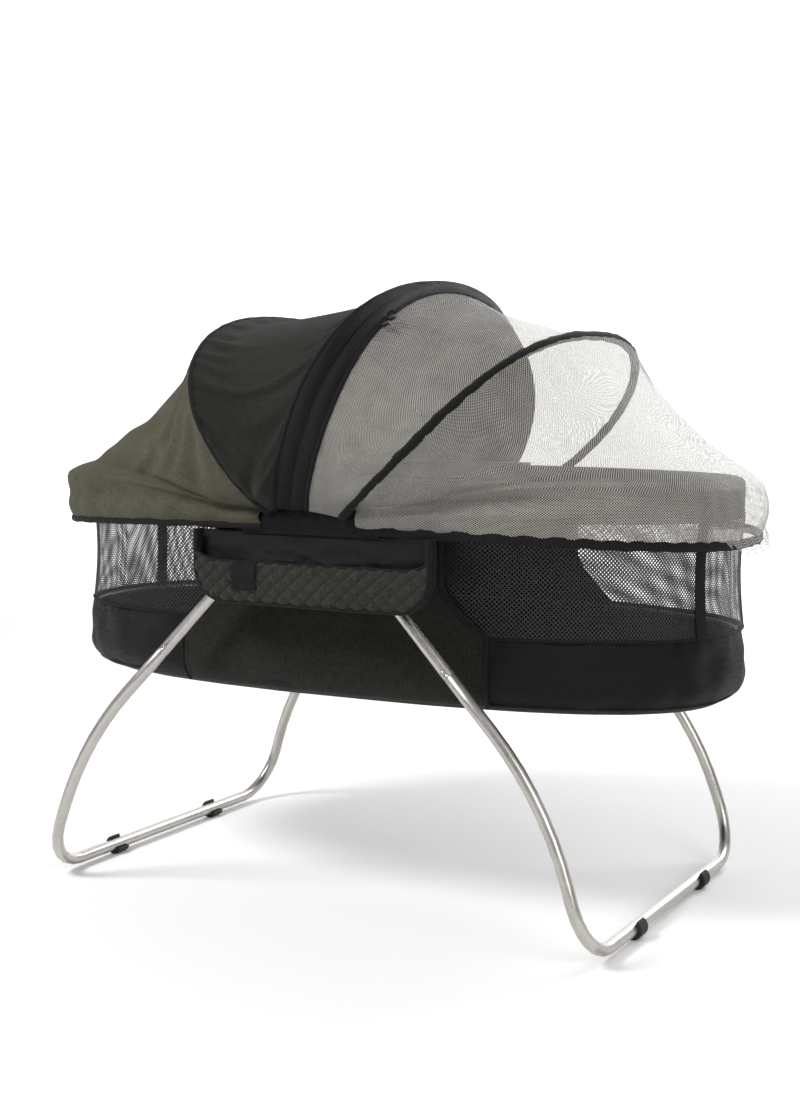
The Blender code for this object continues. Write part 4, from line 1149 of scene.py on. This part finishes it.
def add_mattress():
    """The pad in the bottom, blown up a little by the cloth solver from the frame's own solid."""
    source = frame["nodes"]["mattress"]
    pad = bpy.data.objects.new("mattress_pad", source.data.copy())
    bpy.context.scene.collection.objects.link(pad)
    merge(pad)
    pad.data.remesh_voxel_size = 0.007
    select_only(pad)
    bpy.ops.object.voxel_remesh()
    start = [v.co.copy() for v in pad.data.vertices]
    cloth = pad.modifiers.new("Swell", "CLOTH")
    cloth.settings.use_pressure = True
    cloth.settings.uniform_pressure_force = 4.0
    cloth.settings.effector_weights.gravity = 0.0
    cloth.collision_settings.use_collision = False
    for number in range(1, 13):
        bpy.context.scene.frame_set(number)
    apply_modifier(pad, cloth)
    bpy.context.scene.frame_set(1)
    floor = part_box("mattress")[0].z
    for vertex, before in zip(pad.data.vertices, start):
        moved = vertex.co - before
        if moved.length > 0.005:
            vertex.co = before + moved * (0.005 / moved.length)
        vertex.co.z = max(vertex.co.z, floor)
    smooth(pad)
    finish(pad, "mattress_cover", "root", "mattress")


class BASSINET_OT_basket(bpy.types.Operator):
    """Adds the basket's base, mesh walls, rim band, straps and mattress"""

    bl_idname = "bassinet.add_basket"
    bl_label = "Basket"

    def execute(self, context):
        add_base()
        add_walls()
        add_straps()
        add_mattress()
        return {"FINISHED"}


# Side panels and pocket

PANEL_MIDDLE = (PANEL_LOW.x + PANEL_HIGH.x) / 2
PANEL_TOP_HALF_WIDTH = 0.163
PANEL_BOTTOM_HALF_WIDTH = 0.222
PANEL_FLARE_DEPTH = 0.070
PANEL_STAND_OFF = 0.0026


def panel_half_width(height):
    share = (BASE_SEAM + PANEL_FLARE_DEPTH - height) / PANEL_FLARE_DEPTH
    eased = min(1.0, max(0.0, share)) ** 1.6
    return PANEL_TOP_HALF_WIDTH + (PANEL_BOTTOM_HALF_WIDTH - PANEL_TOP_HALF_WIDTH) * eased


def side_panel_place(across):
    def place(u, v):
        height = PANEL_HIGH.z - (PANEL_HIGH.z - PANEL_LOW.z) * v
        x = PANEL_MIDDLE + panel_half_width(height) * (2 * u - 1)
        soft = 0.0022 * noise.noise(Vector((9 * x, 14 * height, across))) * math.sin(math.pi * u)
        outset = skin_outset(height) + PANEL_STAND_OFF + soft
        if height < BASE_SEAM:
            outset += wall_waist(height)
        return plan_point(across * angle_at(x), outset, height)

    return place


def add_side_panels():
    for side, across in (("front", -1), ("rear", 1)):
        place = side_panel_place(across)
        name = f"side_panel_{side}"
        add_cloth(name + "_cloth", (90, 60), place, "charcoal_linen", name)
        for edge, u in (("left", 0.0), ("right", 1.0)):
            points = [place(u, v) for v in spread(0.0, 1.0, 60)]
            welt = draw_tube(f"{name}_{edge}_binding", points, 1.35 * sizes().welt)
            pucker(welt, 0.015, 0.0004)
            finish(welt, "black_tape", "root")
        stitch_rows(name, place)


def stitch_rows(name, place):
    """A row of lockstitches just inside each bound edge, laid on the cloth."""
    for edge, u in (("left", 0.020), ("right", 0.980)):
        points = [place(u, v) for v in spread(0.02, 0.98, 160)]
        dashes = []
        for index in range(0, len(points) - 2, 3):
            dashes.append((points[index], points[index + 1].lerp(points[index + 2], 0.3)))
        bpy.ops.object.select_all(action="DESELECT")
        bpy.ops.object.add(type="CURVE")
        row = bpy.context.object
        row.name = f"{name}_{edge}_stitches"
        row.data.dimensions = "3D"
        row.data.bevel_depth = 0.0005
        row.data.bevel_resolution = 1
        row.data.use_fill_caps = True
        for start, end in dashes:
            line = row.data.splines.new("POLY")
            line.points.add(1)
            out = Vector((0.0, math.copysign(0.0008, start.y), 0.0))
            line.points[0].co = (*(start + out), 1.0)
            line.points[1].co = (*(end + out), 1.0)
        select_only(row)
        bpy.ops.object.convert(target="MESH")
        merge(row)
        finish(row, "black_tape", "root")


POCKET_MIDDLE = (POCKET_LOW.x + POCKET_HIGH.x) / 2
POCKET_HALF = (POCKET_HIGH.x - POCKET_LOW.x) / 2
POCKET_BOTTOM = POCKET_LOW.z
POCKET_TOP = POCKET_HIGH.z
POCKET_CORNER = 0.046
POCKET_BACK_Y = POCKET_LOW.y
POCKET_FRONT_Y = POCKET_FRONT_LOW.y
POCKET_OPENING = POCKET_FRONT_HIGH.z - 0.003
POCKET_WELT = 0.0042


def pocket_half(height, inset=0.0):
    """Half the pocket's width at a height: its lower corners are round."""
    above = height - POCKET_BOTTOM
    corner = POCKET_CORNER
    if above >= corner:
        return POCKET_HALF - inset
    drop = corner - max(0.0, above)
    return POCKET_HALF - corner + math.sqrt(max(0.0, corner**2 - drop**2)) - inset


def smile(x):
    """Height of the pocket's opening: nearly level, and swept up at both ends."""
    rise = max(0.0, abs(x - POCKET_MIDDLE) - POCKET_HALF + 0.040) / 0.040
    return POCKET_OPENING + 0.022 * (1 - math.sqrt(1 - min(0.98, rise) ** 2))


def pocket_back_place(u, v):
    height = POCKET_BOTTOM + 0.002 + (POCKET_TOP - 0.003 - POCKET_BOTTOM) * v
    x = POCKET_MIDDLE + pocket_half(height, POCKET_WELT) * (2 * u - 1)
    crown = 0.011 * math.sin(math.pi * u) ** 0.4 * math.sin(math.pi * min(1.0, 1.05 * v)) ** 0.6
    wrinkle = noise.noise(Vector((17 * x, 62 * height, 2.0)))
    wrinkle += 0.6 * noise.noise(Vector((46 * x, 120 * height, 7.0)))
    crown += 0.0065 * wrinkle * math.sin(math.pi * u) ** 0.5 * math.sin(math.pi * min(1.0, 1.05 * v))
    return Vector((x, POCKET_BACK_Y - crown, height))


def pocket_front_place(u, v):
    half = POCKET_HALF - POCKET_WELT
    low_x = POCKET_MIDDLE + (half - 0.001) * math.sin(math.pi * (u - 0.5))
    reach = abs(low_x - POCKET_MIDDLE) - (half - POCKET_CORNER)
    low = POCKET_BOTTOM + POCKET_WELT
    if reach > 0:
        low += POCKET_CORNER - math.sqrt(max(0.0, POCKET_CORNER**2 - reach**2))
    high = max(low + 0.004, smile(low_x))
    height = low + (high - low) * v
    spacing = sizes().quilt
    first = math.pi * (low_x + 1.15 * height) / spacing
    second = math.pi * (low_x - 1.15 * height) / spacing
    puff = (abs(math.sin(first)) * abs(math.sin(second))) ** 0.55
    crown = 0.004 * math.sin(math.pi * u) ** 0.4 * math.sin(math.pi * v) ** 0.5
    return Vector((low_x, POCKET_FRONT_Y - crown - 0.0032 * puff, height))


def pocket_outline(inset=0.0, count=28):
    """The pocket's sides and bottom from its left top corner round to its right, in X and Z."""
    half, corner = POCKET_HALF - inset, POCKET_CORNER - inset
    low = POCKET_BOTTOM + inset
    points = [(POCKET_MIDDLE - half, z) for z in spread(POCKET_TOP, low + corner, 8)[:-1]]
    for end, start in ((-1, math.pi), (1, 1.5 * math.pi)):
        centre = POCKET_MIDDLE + end * (half - corner)
        for turn in spread(start, start + math.pi / 2, count // 2):
            spot = (centre + corner * math.cos(turn), low + corner + corner * math.sin(turn))
            points.append(spot)
    points += [(POCKET_MIDDLE + half, z) for z in spread(low + corner, POCKET_TOP, 8)[1:]]
    return points


def add_pocket():
    add_cloth(
        "pocket_back_cloth", (120, 44), pocket_back_place, "black_nylon", "pocket_back",
    )

    front, _ = lay_sheet("pocket_front_quilt", (300, 60), pocket_front_place)
    thicken(front, 0.0020, 1.0)
    smooth(front)
    finish(front, "quilted_charcoal", "root", "pocket_front")

    outline = pocket_outline(POCKET_WELT)

    def gusset(u, v):
        x, z = profile_place(outline, u)
        swell = 0.0030 * math.sin(math.pi * v)
        out = Vector((x - POCKET_MIDDLE, 0.0, 3 * (z - POCKET_TOP))).normalized()
        y = POCKET_BACK_Y + (POCKET_FRONT_Y - POCKET_BACK_Y - 0.001) * v
        return Vector((x, y, z)) + out * swell

    add_cloth(
        "pocket_gusset", (150, 8), gusset, "black_nylon", "pocket_binding",
        thickness=GUSSET_THICKNESS, angle=math.radians(60),
    )
    add_pocket_trim(outline)


def add_pocket_trim(outline):
    """The round binding of the pocket's edge, its swept-up opening and its plain tab."""
    edge = [Vector((x, POCKET_FRONT_Y - 0.0015, z)) for x, z in outline]
    welt = draw_tube("pocket_edge_welt", edge, 0.0040, sides=12)
    pucker(welt, 0.014, 0.0006)
    finish(welt, "black_tape", "root")
    rear_edge = [Vector((x, POCKET_BACK_Y, z)) for x, z in outline]
    rear_welt = draw_tube("pocket_back_welt", rear_edge, 0.0026)
    finish(rear_welt, "black_tape", "root")

    half = POCKET_HALF - POCKET_WELT
    points = []
    for x in spread(POCKET_MIDDLE - half, POCKET_MIDDLE + half, 70):
        points.append(Vector((x, POCKET_FRONT_Y - 0.0022, smile(x) + 0.0008)))
    lip = draw_tube("pocket_opening_welt", points, 0.0022)
    pucker(lip, 0.012, 0.0005)
    finish(lip, "black_tape", "root")

    top = smile(TAB_LOW.x) + 0.001

    def tab_place(u, v):
        x = TAB_LOW.x + (TAB_HIGH.x - TAB_LOW.x) * u
        z = top - (TAB_HIGH.z - TAB_LOW.z + 0.002) * v
        curl = 0.0016 * math.sin(math.pi * v) + 0.0010 * v
        return Vector((x, TAB_LOW.y - 0.0064 - curl, z))

    tab, _ = lay_sheet("pocket_tab_cloth", (18, 16), tab_place)
    thicken(tab, 0.0016)
    bevel = tab.modifiers.new("Round", "BEVEL")
    bevel.width = 0.0004
    bevel.segments = 2
    bevel.limit_method = "ANGLE"
    apply_modifier(tab, bevel)
    smooth(tab, math.radians(40))
    finish(tab, "black_nylon", "root", "pocket_tab")


class BASSINET_OT_pocket(bpy.types.Operator):
    """Adds the side panels and the quilted pocket with its binding and blank tab"""

    bl_idname = "bassinet.add_pocket"
    bl_label = "Side panels and pocket"

    def execute(self, context):
        add_side_panels()
        add_pocket()
        return {"FINISHED"}


# Stand, hubs and hoops

def slot_of(node):
    """The material slot that the record gives a frame part."""
    for row in frame["record"]["subparts"]:
        if row["node"] == node:
            return row["material_slot"]
    return None


def refine(node, angle):
    """A copy of a frame part with joined, smoothly shaded faces, which is shown in its place."""
    piece = bpy.data.objects.new(node + "_surface", frame["nodes"][node].data.copy())
    bpy.context.scene.collection.objects.link(piece)
    merge(piece)
    smooth(piece, angle)
    finish(piece, slot_of(node), frame["nodes"][node]["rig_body"], node)


class BASSINET_OT_finishes(bpy.types.Operator):
    """Makes every material and gives the frame's own parts theirs"""

    bl_idname = "bassinet.add_finishes"
    bl_label = "Materials and stand"

    def execute(self, context):
        MATERIALS.update(make_materials(context.scene.bassinet_colours))
        smooth_slots = ("leg_tube", "rim_tube", "steel", "plastic", "rubber")
        for node, part in frame["nodes"].items():
            slot = slot_of(node)
            part.data.materials.clear()
            part.data.materials.append(MATERIALS[slot if slot in MATERIALS else "black_nylon"])
            if slot in smooth_slots:
                refine(node, math.radians(42))
        return {"FINISHED"}


# Stage


class BASSINET_OT_stage(bpy.types.Operator):
    """Adds the pale floor, the soft lights and the camera"""

    bl_idname = "bassinet.add_stage"
    bl_label = "Stage"

    def execute(self, context):
        add_floor()
        add_lights(context.scene)
        add_camera(context.scene)
        return {"FINISHED"}


def add_floor():
    """A pale sweep: a floor whose far edge curves up into a backdrop."""
    bpy.ops.object.select_all(action="DESELECT")
    bpy.ops.mesh.primitive_plane_add(size=16.0)
    floor = bpy.context.object
    floor.name = "studio_sweep"
    bpy.ops.object.mode_set(mode="EDIT")
    bpy.ops.mesh.select_all(action="DESELECT")
    bpy.ops.object.mode_set(mode="OBJECT")
    for edge in floor.data.edges:
        ends = [floor.data.vertices[i].co for i in edge.vertices]
        edge.select = all(end.y > 0 for end in ends)
    bpy.ops.object.mode_set(mode="EDIT")
    bpy.ops.mesh.extrude_region_move(TRANSFORM_OT_translate={"value": (0.0, 0.0, 7.0)})
    bpy.ops.object.mode_set(mode="OBJECT")
    bevel = floor.modifiers.new("Sweep", "BEVEL")
    bevel.width = 2.0
    bevel.segments = 16
    apply_modifier(floor, bevel)
    smooth(floor)
    dress(floor, painted("pale_floor", (0.93, 0.93, 0.93)))


def add_area_light(name, place, size, power, aim=(0.0, 0.0, 0.45)):
    bpy.ops.object.light_add(type="AREA", location=place)
    light = bpy.context.object
    light.name = name
    light.data.shape = "DISK"
    light.data.size = size
    light.data.energy = power
    light.visible_camera = False
    away = Vector(place) - Vector(aim)
    light.rotation_euler = away.to_track_quat("Z", "Y").to_euler()


def add_lights(scene):
    world = bpy.data.worlds.new("studio_air")
    world.use_nodes = True
    world.node_tree.nodes["Background"].inputs["Color"].default_value = (1.0, 1.0, 1.0, 1.0)
    world.node_tree.nodes["Background"].inputs["Strength"].default_value = 0.42
    scene.world = world
    add_area_light("key_light", (-1.6, -2.0, 2.9), 1.2, 95.0)
    add_area_light("fill_light", (2.8, -1.6, 1.6), 2.0, 38.0)
    add_area_light("back_light", (0.8, 2.6, 2.4), 2.2, 60.0)
    add_area_light("backdrop_light", (0.6, 4.2, 4.5), 3.0, 170.0, aim=(-0.5, 8.0, 1.5))
    add_area_light("backdrop_light_left", (-4.2, 3.4, 4.5), 3.0, 300.0, aim=(-5.5, 8.0, 2.0))
    scene.view_settings.view_transform = "Standard"


CAMERA_PLACE = Vector((1.1216, -2.0515, 0.6781))
CAMERA_YAW = 0.4994
CAMERA_PITCH = 0.0951
CAMERA_ROLL = 0.0024
CAMERA_LENS = 55.7


def add_camera(scene):
    back = Vector((
        math.sin(CAMERA_YAW) * math.cos(CAMERA_PITCH),
        -math.cos(CAMERA_YAW) * math.cos(CAMERA_PITCH),
        math.sin(CAMERA_PITCH),
    ))
    right = Vector((math.cos(CAMERA_YAW), math.sin(CAMERA_YAW), 0.0))
    up = back.cross(right)
    cosine, sine = math.cos(CAMERA_ROLL), math.sin(CAMERA_ROLL)
    rolled_right = cosine * right + sine * up
    rolled_up = -sine * right + cosine * up
    turned = Matrix((rolled_right, rolled_up, back)).transposed()
    bpy.ops.object.camera_add(location=CAMERA_PLACE)
    camera = bpy.context.object
    camera.name = "studio_camera"
    camera.rotation_euler = turned.to_euler()
    camera.data.sensor_width = 36.0
    camera.data.lens = CAMERA_LENS
    scene.camera = camera


OPERATORS = (
    BASSINET_OT_finishes,
    BASSINET_OT_stage,
    BASSINET_OT_basket,
    BASSINET_OT_pocket,
    BASSINET_OT_canopy,
    BASSINET_OT_visor,
    BASSINET_OT_net,
)


class BASSINET_PT_pieces(bpy.types.Panel):
    """Lists the bassinet's groups of pieces, their sizes and their colours"""

    bl_idname = "BASSINET_PT_pieces"
    bl_label = "Bassinet"
    bl_space_type = "VIEW_3D"
    bl_region_type = "UI"
    bl_category = "Bassinet"

    def draw(self, context):
        for operator in OPERATORS:
            self.layout.operator(operator.bl_idname)
        for group in (context.scene.bassinet_sizes, context.scene.bassinet_colours):
            for name in group.bl_rna.properties.keys():
                if name not in ("rna_type", "name"):
                    self.layout.prop(group, name)


CLASSES = (BassinetSizes, BassinetColours, *OPERATORS, BASSINET_PT_pieces)


def register():
    for cls in CLASSES:
        bpy.utils.register_class(cls)
    bpy.types.Scene.bassinet_sizes = bpy.props.PointerProperty(type=BassinetSizes)
    bpy.types.Scene.bassinet_colours = bpy.props.PointerProperty(type=BassinetColours)


def unregister():
    del bpy.types.Scene.bassinet_colours
    del bpy.types.Scene.bassinet_sizes
    for cls in reversed(CLASSES):
        bpy.utils.unregister_class(cls)


def main():
    register()
    bpy.ops.bassinet.add_finishes()
    bpy.ops.bassinet.add_stage()
    bpy.ops.bassinet.add_basket()
    bpy.ops.bassinet.add_pocket()
    bpy.ops.bassinet.add_canopy()
    bpy.ops.bassinet.add_visor()
    bpy.ops.bassinet.add_net()


if __name__ == "__main__":
    main()
